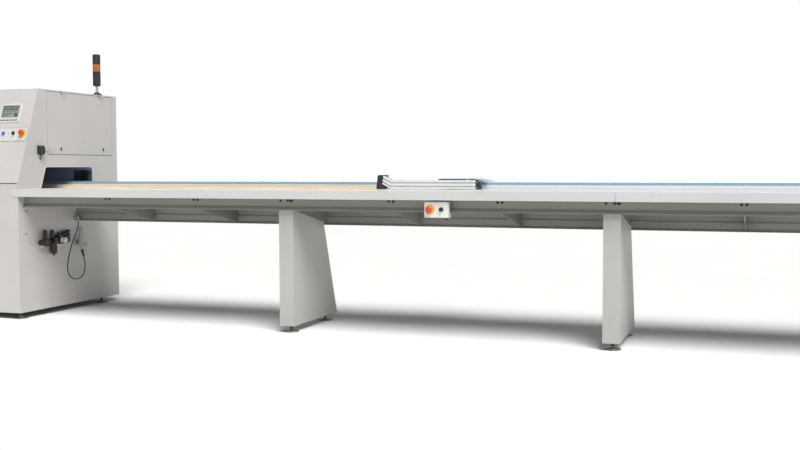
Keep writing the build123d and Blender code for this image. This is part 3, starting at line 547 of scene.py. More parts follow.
class PUSHSAW_OT_stage(bpy.types.Operator):
    """Adds the camera, a round pale floor with a white surround, and soft studio light"""
    bl_idname = "pushsaw.stage"
    bl_label = "Stage"

    def execute(self, context):
        scene = context.scene
        lens = bpy.data.cameras.new("camera")
        lens.lens, lens.sensor_width = sizes().lens_length * MM, 36.0
        lens.clip_end = 400.0
        camera = bpy.data.objects.new("camera", lens)
        camera.location = CAMERA_PLACE
        camera.rotation_euler = [math.radians(angle) for angle in CAMERA_TURN]
        scene.collection.objects.link(camera)
        scene.camera = camera

        paper = surface("floor_paper", colours().floor_white, 0.8, relief=0.0, spread=0.01,
                        patch=900.0, patch_depth=0.01)
        glow = bpy.data.materials.new("white_surround")
        glow.use_nodes = True
        tree = glow.node_tree
        light = add(tree, "Emission", {"Color": (1, 1, 1, 1), "Strength": 1.0})
        output = next(node for node in tree.nodes if node.type == "OUTPUT_MATERIAL")
        tree.links.new(light.outputs[0], output.inputs["Surface"])
        # The floor is one disc; the surround is a ring of wall r cos t, r sin t, h.
        t = np.arange(96) * math.tau / 96
        rim = np.stack([FLOOR_RADIUS * np.cos(t), FLOOR_RADIUS * np.sin(t), 0 * t], -1)
        wall = np.concatenate([rim + (0, 0, -0.5), rim + (0, 0, SURROUND_HEIGHT)])
        j = np.arange(96)
        sides = np.stack([(j + 1) % 96, j, j + 96, (j + 1) % 96 + 96], -1)
        for name, points, faces, material in (("floor", rim, [j.tolist()], paper),
                                              ("surround", wall, sides.tolist(), glow)):
            mesh = bpy.data.meshes.new(name)
            mesh.from_pydata(points.tolist(), [], faces)
            mesh.materials.append(material)
            sheet = bpy.data.objects.new(name, mesh)
            scene.collection.objects.link(sheet)
            sheet.visible_shadow = name == "floor"

        sun = bpy.data.lights.new("main_softbox", "SUN")
        sun.energy, sun.angle = 4.2, math.radians(34)
        key = bpy.data.objects.new("main_softbox", sun)
        key.rotation_euler = (math.radians(26), math.radians(24), 0.0)
        scene.collection.objects.link(key)

        world = bpy.data.worlds.new("studio")
        world.use_nodes = True
        back = world.node_tree.nodes["Background"]
        back.inputs["Color"].default_value = (1.0, 0.995, 0.98, 1)
        back.inputs["Strength"].default_value = 0.12
        scene.world = world
        scene.view_settings.view_transform = "Standard"
        return {"FINISHED"}

# ---- Air hose ----
# The route's points from the part's source, in metres of the frame.
HOSE_ROUTE = (
    (-2.362, 0.033, 0.646), (-2.362, 0.033, 0.612), (-2.360, 0.010, 0.566),
    (-2.358, -0.036, 0.508), (-2.356, -0.073, 0.440), (-2.354, -0.104, 0.364),
    (-2.352, -0.115, 0.302), (-2.352, -0.088, 0.250), (-2.352, -0.023, 0.222),
    (-2.354, 0.045, 0.227), (-2.356, 0.092, 0.272), (-2.358, 0.099, 0.336),
    (-2.360, 0.084, 0.388),
)


class PUSHSAW_OT_air_hose(bpy.types.Operator):
    """Adds the black air hose that hangs in a loop, its push-in coupling and its fitting"""
    bl_idname = "pushsaw.air_hose"
    bl_label = "Air hose"

    def execute(self, context):
        line = bpy.data.curves.new("air_hose_tube", "CURVE")
        line.dimensions = "3D"
        spline = line.splines.new("NURBS")
        spline.points.add(len(HOSE_ROUTE) - 1)
        spline.points.foreach_set("co", [v for p in HOSE_ROUTE for v in (*p, 1.0)])
        spline.order_u = 3
        spline.use_endpoint_u = True
        line.resolution_u = 16
        line.bevel_depth = sizes().hose_diameter / 2
        line.bevel_resolution = 6
        line.use_fill_caps = True
        line.materials.append(bpy.data.materials["polyurethane_tube"])
        hose = bpy.data.objects.new("air_hose_tube", line)
        context.scene.collection.objects.link(hose)
        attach(hose, "machine")
        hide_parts("air_hose")

        # Coupling along the hose's last run: a release ring, a knurled sleeve and a nut.
        last, before = ((np.array(HOSE_ROUTE[i]) - DATUM) * MM for i in (-1, -2))
        run = (last - before) / np.linalg.norm(last - before)
        release = lathe(((4.4, -4), (6.4, -4), (7, -3), (7, -1), (5.6, -0.5), (5.6, 1)), 24)
        sleeve = lathe(((7, 0), (8, 1.5), (8, 24), (7, 26), (9, 27), (10, 29), (10, 48),
                        (9, 50)), 36, flutes=18, depth=0.7, band=(1.5, 24))
        nut = prism(polygon(10.2, 6), ((50, 1), (51, 0), (64, 0), (65, 1)))
        collet = lathe(((6, 64), (6, 70)), 20)
        upper = put(join(lathe(((4.3, -1), (7.5, -1), (8, 0), (8, 5), (6, 5.6), (6, 8)), 24),
                         prism(polygon(10.5, 6), ((8, 1), (9, 0), (17, 0), (18, 1))),
                         lathe(((7, 18), (7, 24)), 20)), "z", (38, 568, 646))
        elbow = join(slab((0, 50), (557, 578), (664, 676), 4, 1.5),
                     put(lathe(((9.5, 0), (9.5, 2), (11, 2.5), (11, 5), (9, 6)), 24), "x",
                         (0, 567.5, 670)))
        coupling = make("hose_coupler", {
            "moulded_black": [aim(join(release, sleeve), last, last + run)],
            "bright_zinc": [aim(join(nut, collet), last, last + run), upper, elbow]},
            "machine", ("hose_coupling",))
        return {"FINISHED"}

# ---- Feet and signal lamp ----
CABINET_FEET = ((-48, 40), (-48, 950), (-1250, 40), (-1250, 950))
LEG_CENTRES = (1973, 3974, 5975)
LEG_FEET_YS = (116, 641)
FEET = CABINET_FEET + tuple((x, y) for x in LEG_CENTRES for y in LEG_FEET_YS)


class PUSHSAW_OT_feet(bpy.types.Operator):
    """Adds the levelling feet: a pressed dish on a rubber ring, a threaded stud and a lock nut"""
    bl_idname = "pushsaw.feet"
    bl_label = "Levelling feet"

    def execute(self, context):
        foot, stud = sizes().foot_radius * MM, sizes().stud_radius * MM
        places = [(x, y, 0) for x, y in FEET]
        sole = lathe(((foot - 4, 0), (foot - 1, 0), (foot, 1.2), (foot, 4.5), (foot - 2, 5)), 48)
        dish = lathe(((foot - 1, 4.5), (foot - 2, 6.5), (foot - 8, 8), (28, 9), (18, 10.5),
                      (14, 13), (12, 17), (11, 20), (9, 20.5)), 48, flutes=24, depth=0.8,
                     band=(7.5, 9.5))
        # Thread: the radius swings between crest and root every 2 mm of height.
        turns = np.arange(18, 43.5, 0.5)
        crest = stud - 0.9 * np.abs((turns / 2) % 1 - 0.5) * 2
        thread = lathe(np.stack([crest, turns], -1), 20)
        nut = put(hex_bolt(22, 8), "z", (0, 0, 34.5))
        make("levelling_foot_set", {
            "black_rubber": [repeat(sole, places)],
            "galvanised_sheet": [repeat(dish, places)],
            "blackened_steel": [repeat(thread, places)],
            "bright_zinc": [repeat(nut, places)]},
            "machine", ("levelling_feet",))
        return {"FINISHED"}

LAMP = (-60, 955)
ROOF_Z = 1585
LENS_LOW, LENS_HIGH = 1767, 1823


class PUSHSAW_OT_signal_lamp(bpy.types.Operator):
    """Adds the signal lamp on the roof: flange, tube, ribbed body, prism lens and cap"""
    bl_idname = "pushsaw.signal_lamp"
    bl_label = "Signal lamp"

    def execute(self, context):
        r = sizes().lamp_radius * MM
        place = (*LAMP, 0)
        flange = lathe(((36, ROOF_Z), (36.5, 1586), (36.5, 1594), (35, 1597), (25, 1600),
                        (19, 1603), (17, 1608), (14, 1611), (11, 1611.5)), 40)
        screws = repeat(button_head(3, 2, 12),
                        [(30 * math.cos(a), 30 * math.sin(a), 1598) for a in (0.5, 2.6, 4.7)])
        tube = lathe(((10.6, 1605), (10.6, 1657), (10, 1660)), 28)
        body = lathe(((10, 1655), (16, 1656), (24, 1658), (r - 1, 1661), (r, 1664), (r, 1690),
                      (r - 1.4, 1691), (r - 1.4, 1693), (r, 1694), (r, 1725), (r - 1.4, 1726),
                      (r - 1.4, 1728), (r, 1729), (r, 1759), (r - 2, 1760), (r - 2, 1762),
                      (r, 1763), (r, LENS_LOW), (r - 3, 1768)), 48)
        cap = lathe(((r - 3, 1822), (r, LENS_HIGH), (r, 1829), (r - 1.4, 1830), (r - 1.4, 1832),
                     (r, 1833), (r, 1888), (r - 1, 1893), (r - 5, 1897), (14, 1898.6),
                     (3, 1899)), 48)
        # Prism lens: 36 upright flutes round a hollow shell.
        lens = lathe(((r - 0.4, 1767.5), (r - 0.4, 1822.5), (r - 5, 1822.5), (r - 5, 1767.5)),
                     144, flutes=36, depth=1.3, band=(LENS_LOW, LENS_HIGH), loop=True)
        core = lathe(((7.8, LENS_LOW), (7.8, LENS_HIGH)), 24, flutes=6, depth=1, band=(1760, 1830))
        dark = [put(shape, "z", place) for shape in (flange, body, cap)]
        bright = [put(shape, "z", place) for shape in (screws, core, tube)]
        make("lamp_body", {"moulded_black": dark, "bright_zinc": bright},
             "machine", ("stack_light_body",))
        make("lamp_lens", {"amber_polycarbonate": [put(lens, "z", place)]},
             "machine", ("stack_light_lens",))
        return {"FINISHED"}

# ---- Operator console and control box ----
BUTTON_LINE = 362
STOP_X, RESET_X, SELECTOR_X = -46, -205, -121
KEY_XS = (-250, -225, -200, -175, -150, -125)
TABLE_STOP, FEED_BUTTON = (2930, 783), (3000, 784)


def stop_mushroom(radius, low, high):
    """Emergency-stop mushroom: a waisted skirt under a crowned cap with a ribbed rim."""
    crown = ((radius - 2, high - 4), (radius - 6, high - 1.6), (radius * 0.45, high - 0.4),
             (1.2, high))
    return lathe(((11, low - 22), (11, low - 2), (radius - 6, low), (radius - 1, low + 2.5),
                  (radius, low + 4), (radius, high - 6.5), *crown), 48, flutes=24, depth=0.7,
                 band=(low + 3, high - 6))


def stop_collar(radius, low):
    """Yellow ring round the mushroom's stem, bevelled at its rim."""
    return lathe(((radius, low), (radius, low + 2), (radius - 1, low + 3), (16, low + 3),
                  (15, low + 4.5), (12.5, low + 4.5), (11.2, low + 3), (11.2, low)), 48, loop=True)


class PUSHSAW_OT_console(bpy.types.Operator):
    """Adds the console: bezel, keys, screen, button plate, mushroom, reset and selector"""
    bl_idname = "pushsaw.console"
    bl_label = "Operator console"

    def execute(self, context):
        stop, ring = sizes().stop_radius * MM, sizes().collar_radius * MM
        outer = rounded((-278, -96), (443, 587), 6)
        window = rounded((-262, -117), (480, 571), 3)
        bezel = collar(outer, window, 0.2, 5, 1.5)
        back = bevelled(inset(outer, 4), 0, 0.8, 0.2)
        keys = repeat(slab((-8, 8), (-5, 5), (4.6, 6.8), 2.5, 0.7),
                      [(x, 461, 0) for x in KEY_XS])
        lamp = put(lathe(((2, 4.8), (2, 5.6), (1, 6)), 16), "z", (-108, 530, 0))
        plate = bevelled(rounded((-252, -12), (307, 402), 5), 0, 3, 0.6)
        seal = bevelled(rounded((-254, -10), (305, 404), 7), 0, 1.2, 0.3)
        corners = [(x, up, 3) for x in (-244, -20) for up in (315, 394)]
        corners += [(x, up, 4.8) for x in (-272, -102) for up in (449, 581)]
        screws = repeat(button_head(2.6, 1.4, 12), corners)
        rings = repeat(lathe(((14.6, 3), (14.6, 6), (13.6, 7.6), (12.4, 7.6), (12, 6.5), (12, 3)),
                             36, loop=True),
                       [(RESET_X, BUTTON_LINE, 0), (SELECTOR_X, BUTTON_LINE, 0)])
        holder = put(lathe(((4.5, 3), (4.5, 5.5), (3.5, 6.5), (1, 6.6)), 16), "z", (-160, 362, 0))
        make("console_panel", {
            "moulded_grey": [on_front(bezel, 0, 0), on_front(back, 0, 0)],
            "crystal_fields": [on_front(keys, 0, 0)],
            "brushed_plate": [on_front(plate, 0, 0)],
            "black_rubber": [on_front(seal, 0, 0)],
            "bright_zinc": [on_front(screws, 0, 0), on_front(rings, 0, 0),
                            on_front(holder, 0, 0)],
            "polished_reset_blue": [on_front(lamp, 0, 0)]},
            "machine", ("console_plate",))
        # Screen: the panel, and generic fields and bars laid on it a tenth of a millimetre high.
        panel = bevelled(rounded((-262, -117), (480, 571), 3), 1, 4, 0.3)
        boxes = [slab((x, x + w), (up, up + h), (3.9, 4.1), 0.6, 0.05)
                 for x, w, up, h in ((-258, 100, 556, 10), (-150, 28, 556, 10),
                                     *((-256 + 26 * n, 22, 536, 14) for n in range(5)),
                                     *((-256 + 26 * n, 18 - 2 * n, 524, 4) for n in range(5)),
                                     (-256, 62, 500, 3), (-256, 84, 508, 3), (-256, 48, 492, 3),
                                     (-150, 26, 488, 24))]
        make("screen_panel", {"liquid_crystal": [on_front(panel, 0, 0)],
                              "crystal_fields": [on_front(box, 0, 0) for box in boxes]},
             "machine", ("console_screen",))
        make("stop_collar_set", {"polished_stop_yellow": [
            on_front(stop_collar(ring, 3), STOP_X, BUTTON_LINE),
            put(stop_collar(ring, 8), "-y", (TABLE_STOP[0], 0, TABLE_STOP[1]))]},
            "machine", ("estop_collars",))
        make("console_mushroom", {"polished_stop_red": [
            on_front(stop_mushroom(stop, 16, 33), STOP_X, BUTTON_LINE)]},
            "console_stop", ("console_estop",))
        cap = lathe(((11, -8), (11, 8), (11.6, 9), (11.8, 14), (11, 16), (8, 16.8), (1.5, 17)), 36)
        make("reset_cap", {"polished_reset_blue": [on_front(cap, RESET_X, BUTTON_LINE)]},
             "reset_key", ("reset_button",))
        knob = join(lathe(((11, -8), (11, 4), (12, 6), (11.5, 11), (10, 12)), 36),
                    slab((-4, 4), (-12, 12), (5, 24), 3.5, 1.2))
        mark = slab((-0.8, 0.8), (3, 12), (23.8, 24.3), 0.6, 0.1)
        make("selector_knob", {"moulded_black": [on_front(knob, SELECTOR_X, BUTTON_LINE)],
                               "dial_enamel": [on_front(mark, SELECTOR_X, BUTTON_LINE)]},
             "selector", ("mode_selector",))
        return {"FINISHED"}


class PUSHSAW_OT_control_box(bpy.types.Operator):
    """Adds the front plate, screws, gland, mushroom and button of the table's control box"""
    bl_idname = "pushsaw.control_box"
    bl_label = "Table control box"

    def execute(self, context):
        stop = sizes().stop_radius * MM
        plate = bevelled(rounded((2899, 3043), (738, 826), 3), 7.6, 9.2, 0.4)
        screws = repeat(button_head(2.6, 1.4, 12), [(x, z, 9) for x in (2904, 3038)
                                                    for z in (743, 821)])
        ring = lathe(((15, 9), (15, 12.5), (14, 14), (12.6, 14), (12.2, 13), (12.2, 9)), 36,
                     loop=True)
        gland = join(prism(polygon(10, 6), ((-1, 0), (5, 0), (6, 1))),
                     lathe(((8, 5), (8, 11), (6, 13.5), (4.5, 14)), 24))
        make("control_box_fittings", {
            "brushed_plate": [put(plate, "-y")],
            "bright_zinc": [put(screws, "-y"),
                            put(ring, "-y", (FEED_BUTTON[0], 0, FEED_BUTTON[1]))],
            "moulded_black": [put(gland, "-z", (3020, 30, 736))]},
            "machine")
        make("table_mushroom", {"polished_stop_red": [
            put(stop_mushroom(stop, 24, 40), "-y", (TABLE_STOP[0], 0, TABLE_STOP[1]))]},
            "table_stop", ("table_estop",))
        cap = lathe(((11, 0), (11, 14), (11.8, 18), (11.8, 21.5), (11, 23), (8, 23.7), (1.5, 24)),
                    36)
        make("feed_button_cap", {"moulded_black": [
            put(cap, "-y", (FEED_BUTTON[0], 0, FEED_BUTTON[1]))]},
            "feed_key", ("feed_button",))
        return {"FINISHED"}

# ---- Cabinet: opening, hatch, hood, louvres, spigot and fasteners ----
OPENING = ((214, 890), (267, 1040), (801, 1040), (801, 890))


def opening_line(out):
    """The board opening's two sides and top as one line, moved outwards, with round corners."""
    (a, b), (c, d), (e, f), (g, _) = OPENING
    lean = (c - a) / (d - b)
    low = np.array([(a - out, b + 3)])
    left = bend((c - out - lean * 18, d - 18, 0), (c - out, d + out, 0), (c + 16, d + out, 0))
    right = bend((e - 40, f + out, 0), (e + out, f + out, 0), (e + out, f - 40, 0))
    return np.concatenate([low, left[:, :2], right[:, :2], [(g + out, b + 3)]])


def opening_trim(inner, outer, low, high):
    """A strip round the opening between two of its outward lines: rings across its section."""
    lines = ((inner, low), (outer, low), (outer, high - 1), (outer - 1, high), (inner + 1, high),
             (inner, high - 1))
    rings = [(opening_line(out), h) for out, h in lines]
    return skin(np.stack([np.column_stack([ring, np.full(len(ring), h)]) for ring, h in rings], 1))


class PUSHSAW_OT_openings(bpy.types.Operator):
    """Adds the edging of the board openings and the strips on the tunnel's rear wall"""
    bl_idname = "pushsaw.openings"
    bl_label = "Board openings"

    def execute(self, context):
        trim = opening_trim(-1.5, 4.0, -4.0, 2.2)
        make("opening_edging", {"moulded_grey": [put(trim, "x")]}, "machine")
        # Hanging strips across the way out, each curved a little and lapping the next.
        strips = []
        for n in range(6):
            y = 300 + 50 * n
            t = np.linspace(0, 1, 9)
            x = -1290 - 4 * (n % 2) - 6 * np.sin(t * 2.2)
            z = 1045 - 128 * t
            face = [np.stack([x + dx, np.full(9, y + dy), z], -1)
                    for dx, dy in ((0, 0), (0, 54), (-2, 54), (-2, 0))]
            strips.append(skin(np.stack(face, 1)))
        rail = slab((-1296, -1284), (290, 610), (1040, 1052), 1, 0.6)
        bumpers = [slab((-168, -106), (797.5, 801), (940, 1020), 1, 0.5),
                   slab((-42, -6), (797.5, 801), (940, 1012), 1, 0.5)]
        brush = slab((-104, -44), (794, 801), (940, 1016), 1, 0.5)
        make("way_out_curtain", {"black_rubber": strips, "anodised_aluminium": [rail]},
             "machine")
        make("tunnel_wall_strips", {"black_rubber": bumpers, "moulded_black": [brush]},
             "machine")
        return {"FINISHED"}

HATCH_LOCKS = {"front_hatch_lock": ("hatch_lock_front", 439, 1170),
               "rear_hatch_lock": ("hatch_lock_rear", 935, 1173)}


class PUSHSAW_OT_hatch(bpy.types.Operator):
    """Adds the hatch's gasket and stiffeners, its quarter-turn locks and its door switch"""
    bl_idname = "pushsaw.hatch"
    bl_label = "Side hatch"

    def execute(self, context):
        # Folded edge round the hatch, just inside it, and the black rubber gasket behind the gap: a
        # real seal, and also painted shade, dark so that the gap shows its shade.
        fold = collar(rounded((296, 1046), (1132, 1571), 2), rounded((300, 1042), (1136, 1567), 2),
                      -14, -3, 0.5)
        make("hatch_fold", {"powder_coat_light": [put(fold, "x")]}, "hatch")
        gasket = collar(rounded((284, 1058), (1120, 1584 - 3), 3),
                        rounded((293, 1049), (1129.5, 1573), 3), -9, -3.4, 0.5)
        # Strip filling the hatch's bottom gap: painted shade, a dark line for the gap's shade.
        gap_shade_lip = slab((-3, 1.2), (294, 1048), (1127.8, 1130.9), 0.8, 0.8)
        make("hatch_gasket_and_gap_shade", {"black_rubber": [put(gasket, "x"), gap_shade_lip]}, "machine")
        for body, (node, y, z) in HATCH_LOCKS.items():
            rim = lathe(((12.5, 0.3), (12.5, 2.2), (11.6, 3.2), (9.2, 3.4), (9, 2), (9, 0.3)), 36,
                        loop=True)
            insert = lathe(((9, 0.3), (9, 2.4), (8, 2.8), (6, 2.8)), 28)
            wing = slab((-2.2, 2.2), (-11.5, 11.5), (2, 6.5), 2, 0.8)
            barrel = lathe(((7, -22), (7, 0.4)), 24)
            cam = slab((-6, 50), (-6, 6), (-22, -18), 5, 0.6)
            nut = put(hex_bolt(12, 4), "z", (0, 0, -26))
            make(f"{body}_insert", {
                "bright_zinc": [put(join(rim, barrel, cam, nut), "x", (0, y, z))],
                "moulded_black": [put(join(insert, wing), "x", (0, y, z))]},
                body, (node,))
        case = slab((181, 226), (1128, 1188), (0.2, 30), 3, 1.5)
        lid = slab((185, 222), (1132, 1184), (29.5, 31), 3, 0.6)
        mouth = slab((224, 249), (1141, 1175), (0.2, 17), 2, 1)
        slots = [slab((230, 243), (z, z + 2.4), (16.5, 17.6), 0.4, 0.1) for z in (1149, 1156, 1163)]
        screws = repeat(button_head(2.2, 1.2, 12), [(y, z, 30.8) for y in (188, 219)
                                                    for z in (1135, 1181)])
        gland = join(prism(polygon(8.5, 6), ((0, 0), (4.5, 0), (5.5, 0.8))),
                     lathe(((7, 5), (7, 9), (5, 11), (3.6, 11.4)), 24))
        lead = pipe(bend((16, 203, 1116), (15, 204, 1100), (3, 208, 1094), 8), 3.2)
        make("door_switch", {
            "moulded_black": [put(case, "x"), put(lid, "x"), put(mouth, "x"),
                              put(gland, "-z", (15, 203, 1128)), lead],
            "dull_brass": [put(screws, "x")],
            "crystal_fields": [put(slot, "x") for slot in slots]},
            "machine", ("interlock_switch",))
        key = slab((250, 296), (1153, 1169), (3, 6), 1.5, 0.6)
        fixings = repeat(button_head(3, 1.8, 12), [(y, 1161, 6) for y in (305, 322)])
        tongue = slab((296, 330), (1151, 1171), (3, 6), 2, 0.8)
        make("door_switch_key", {"bright_zinc": [put(join(key, tongue), "x"), put(fixings, "x")]},
             "hatch")
        return {"FINISHED"}


class PUSHSAW_OT_front_hood(bpy.types.Operator):
    """Adds the hood's window, its clamping frame and screws, and the pull handle's grips"""
    bl_idname = "pushsaw.front_hood"
    bl_label = "Front hood"

    def execute(self, context):
        xs, ups = (-1080, -480), (180, 500)
        edge, seen = rounded(xs, ups, 12), rounded((-1052, -508), (208, 472), 8)
        pane = bevelled(inset(edge, 3), 4.2, 8.2, 0.4)
        clamp = collar(edge, seen, 8.0, 9.6, 0.6)
        places = [(x, up, 9.4) for x in np.linspace(-1066, -494, 7) for up in (194, 486)]
        places += [(x, up, 9.4) for x in (-1066, -494) for up in (290, 390)]
        screws = repeat(button_head(3.4, 2.0, 12), places)
        make("hood_pane", {"clear_polycarbonate": [on_front(pane, 0, 0)]}, "hood",
             ("hood_window",))
        make("hood_frame", {"moulded_black": [on_front(clamp, 0, 0)],
                            "bright_zinc": [on_front(screws, 0, 0)]}, "hood")
        # Rounded grip sleeve over the handle's bar, with a boot over each stem.
        grip = aim(lathe(((7, 0), (8.6, 1.5), (9.2, 6), (9.2, 144), (8.6, 148.5), (7, 150)),
                         28), (0, 0, 0), (1, 0, 0))
        boots = repeat(lathe(((10, 4), (10, 8), (8.5, 12), (8.5, 22), (7, 26)), 28),
                       [(-860, 90, 0), (-700, 90, 0)])
        make("hood_grip", {"moulded_black": [on_front(grip, -855, 90, 35),
                                             on_front(boots, 0, 0)]},
             "hood")
        return {"FINISHED"}


class PUSHSAW_OT_cabinet_details(bpy.types.Operator):
    """Adds screws, louvre hoods and the flanged spigot"""
    bl_idname = "pushsaw.cabinet_details"
    bl_label = "Cabinet details"

    def execute(self, context):
        # Pairs of mounting screws on the side faces, and rows along the panels' edges.
        pairs = [(y, z, 0) for y, z in ((50, 738), (62, 738), (44, 580), (56, 580), (104, 505))]
        side = repeat(button_head(4.2, 2.2, 14), pairs)
        rear = [(x, z, 0) for x in (20, 430, 870, 1280) for z in (70, 560, 1050, 1550)]
        back = repeat(button_head(5, 2.6, 14), rear)
        # Louvre hood: a half-round pressed scoop over each slot, r(t) outwards along its width.
        t = np.linspace(0, math.pi, 9)
        arch = np.stack([np.cos(t) * 9, np.sin(t) * 8], -1)
        widths = (-92, -88, -80, 80, 88, 92)
        full = np.array([0.05, 0.6, 1, 1, 0.6, 0.05])[:, None]
        scoop = skin(np.stack([np.column_stack([np.full(9, w), arch[:, 0] * f, arch[:, 1] * f])
                               for w, f in zip(widths, full[:, 0])]))
        louvres = [(x, 240 + 24 * n, 0) for x in (990, 310) for n in range(9)]
        make("cabinet_screws", {"blackened_steel": [put(side, "x"),
                                                    put(side, "-x", (-1300, 110, 0))],
                                "bright_zinc": [put(back, "y", (0, 1110, 0))]},
             "machine")
        make("louvre_hoods", {"powder_coat_light": [put(repeat(scoop, louvres), "y",
                                                        (0, 1110, 0))]},
             "machine")
        # Spigot: a beaded tube on a bolted flange, profile round its own axis.
        tube = lathe(((75, 1587), (75, 1600), (75, 1650), (76.5, 1653), (76.5, 1657), (75, 1660),
                      (75, 1665), (72.5, 1665), (72.5, 1587)), 72, loop=True)
        flange = lathe(((96, ROOF_Z), (96, 1588), (94.5, 1589.5), (72.5, 1589.5), (72.5, ROOF_Z)), 72,
                       loop=True)
        ring = [(86 * math.cos(a), 86 * math.sin(a), 1589.3)
                for a in np.arange(8) * math.tau / 8 + 0.2]
        make("spigot_tube", {"galvanised_sheet": [put(join(tube, flange), "z", (-950, 800, 0))],
                             "bright_zinc": [put(repeat(hex_bolt(8, 4, 1), ring), "z",
                                                 (-950, 800, 0))]},
             "machine", ("extraction_spigot",))
        return {"FINISHED"}

# ---- Compressed-air units on the cabinet's side ----
UNIT_X = 32
REGULATOR_Y, COIL_Y, BOWL_Y = 207, 281, 296
FRONT_GAUGE, REAR_GAUGE = (342, 523), (640, 466)


def gauge(radius, depth):
    """Pressure gauge about z, facing up: shell and bezel, dial, 25 ticks on a 270 degree scale,
    pointer and glass, as separate shapes."""
    shell = lathe(((5, -10), (5, -2), (radius - 3, -1.5), (radius - 1, 0), (radius - 0.5, 2),
                   (radius, 3), (radius, depth - 1), (radius - 1, depth),
                   (radius - 3, depth), (radius - 3.4, depth - 1.2), (radius - 3.4, depth - 3)), 48)
    dial = lathe(((radius - 3.5, depth - 3.2), (radius - 3.5, depth - 2.4)), 40)
    tick = slab((-0.35, 0.35), (radius - 8, radius - 4.6), (depth - 2.5, depth - 2.2), 0.3, 0.05)
    angles = np.radians(np.linspace(-135, 135, 25))
    turned = []
    for angle in angles:
        c, s = math.cos(angle), math.sin(angle)
        turned.append((tick[0] @ np.array(((c, s, 0), (-s, c, 0), (0, 0, 1))), *tick[1:]))
    needle = join(slab((-0.6, 0.6), (-4, radius - 6), (depth - 2.1, depth - 1.7), 0.5, 0.1),
                  lathe(((2.4, depth - 2.2), (2.4, depth - 1.4), (1.5, depth - 1)), 16))
    c, s = math.cos(0.9), math.sin(0.9)
    needle = (needle[0] @ np.array(((c, s, 0), (-s, c, 0), (0, 0, 1))), *needle[1:])
    glass = lathe(((radius - 3.6, depth - 1.1), (radius - 3.6, depth - 0.7)), 40)
    return shell, dial, join(*turned, needle), glass


def knob(radius, height, flutes=18):
    """Fluted adjusting knob: a collar, a fluted waist that tapers to a domed top."""
    return lathe(((radius * 0.94, 0), (radius, 1.2), (radius, height * 0.22),
                  (radius * 0.9, height * 0.26), (radius * 0.9, height * 0.3),
                  (radius * 0.95, height * 0.32), (radius * 0.86, height * 0.86),
                  (radius * 0.78, height * 0.94), (radius * 0.55, height * 0.985), (1, height)),
                 72, flutes=flutes, depth=radius * 0.09, band=(height * 0.31, height * 0.87))


def push_fitting(radius=6, height=14):
    """Push-in fitting: hexagon, body and release ring."""
    return (join(prism(polygon(radius * 1.15, 6), ((0, 0.6), (0.6, 0), (4, 0), (4.6, 0.6))),
                 lathe(((radius, 4.4), (radius, height - 3), (radius - 1, height - 2)), 24)),
            lathe(((radius - 1, height - 2.2), (radius - 0.6, height), (radius - 2.4, height + 0.4),
                   (radius - 2.6, height - 2)), 24))


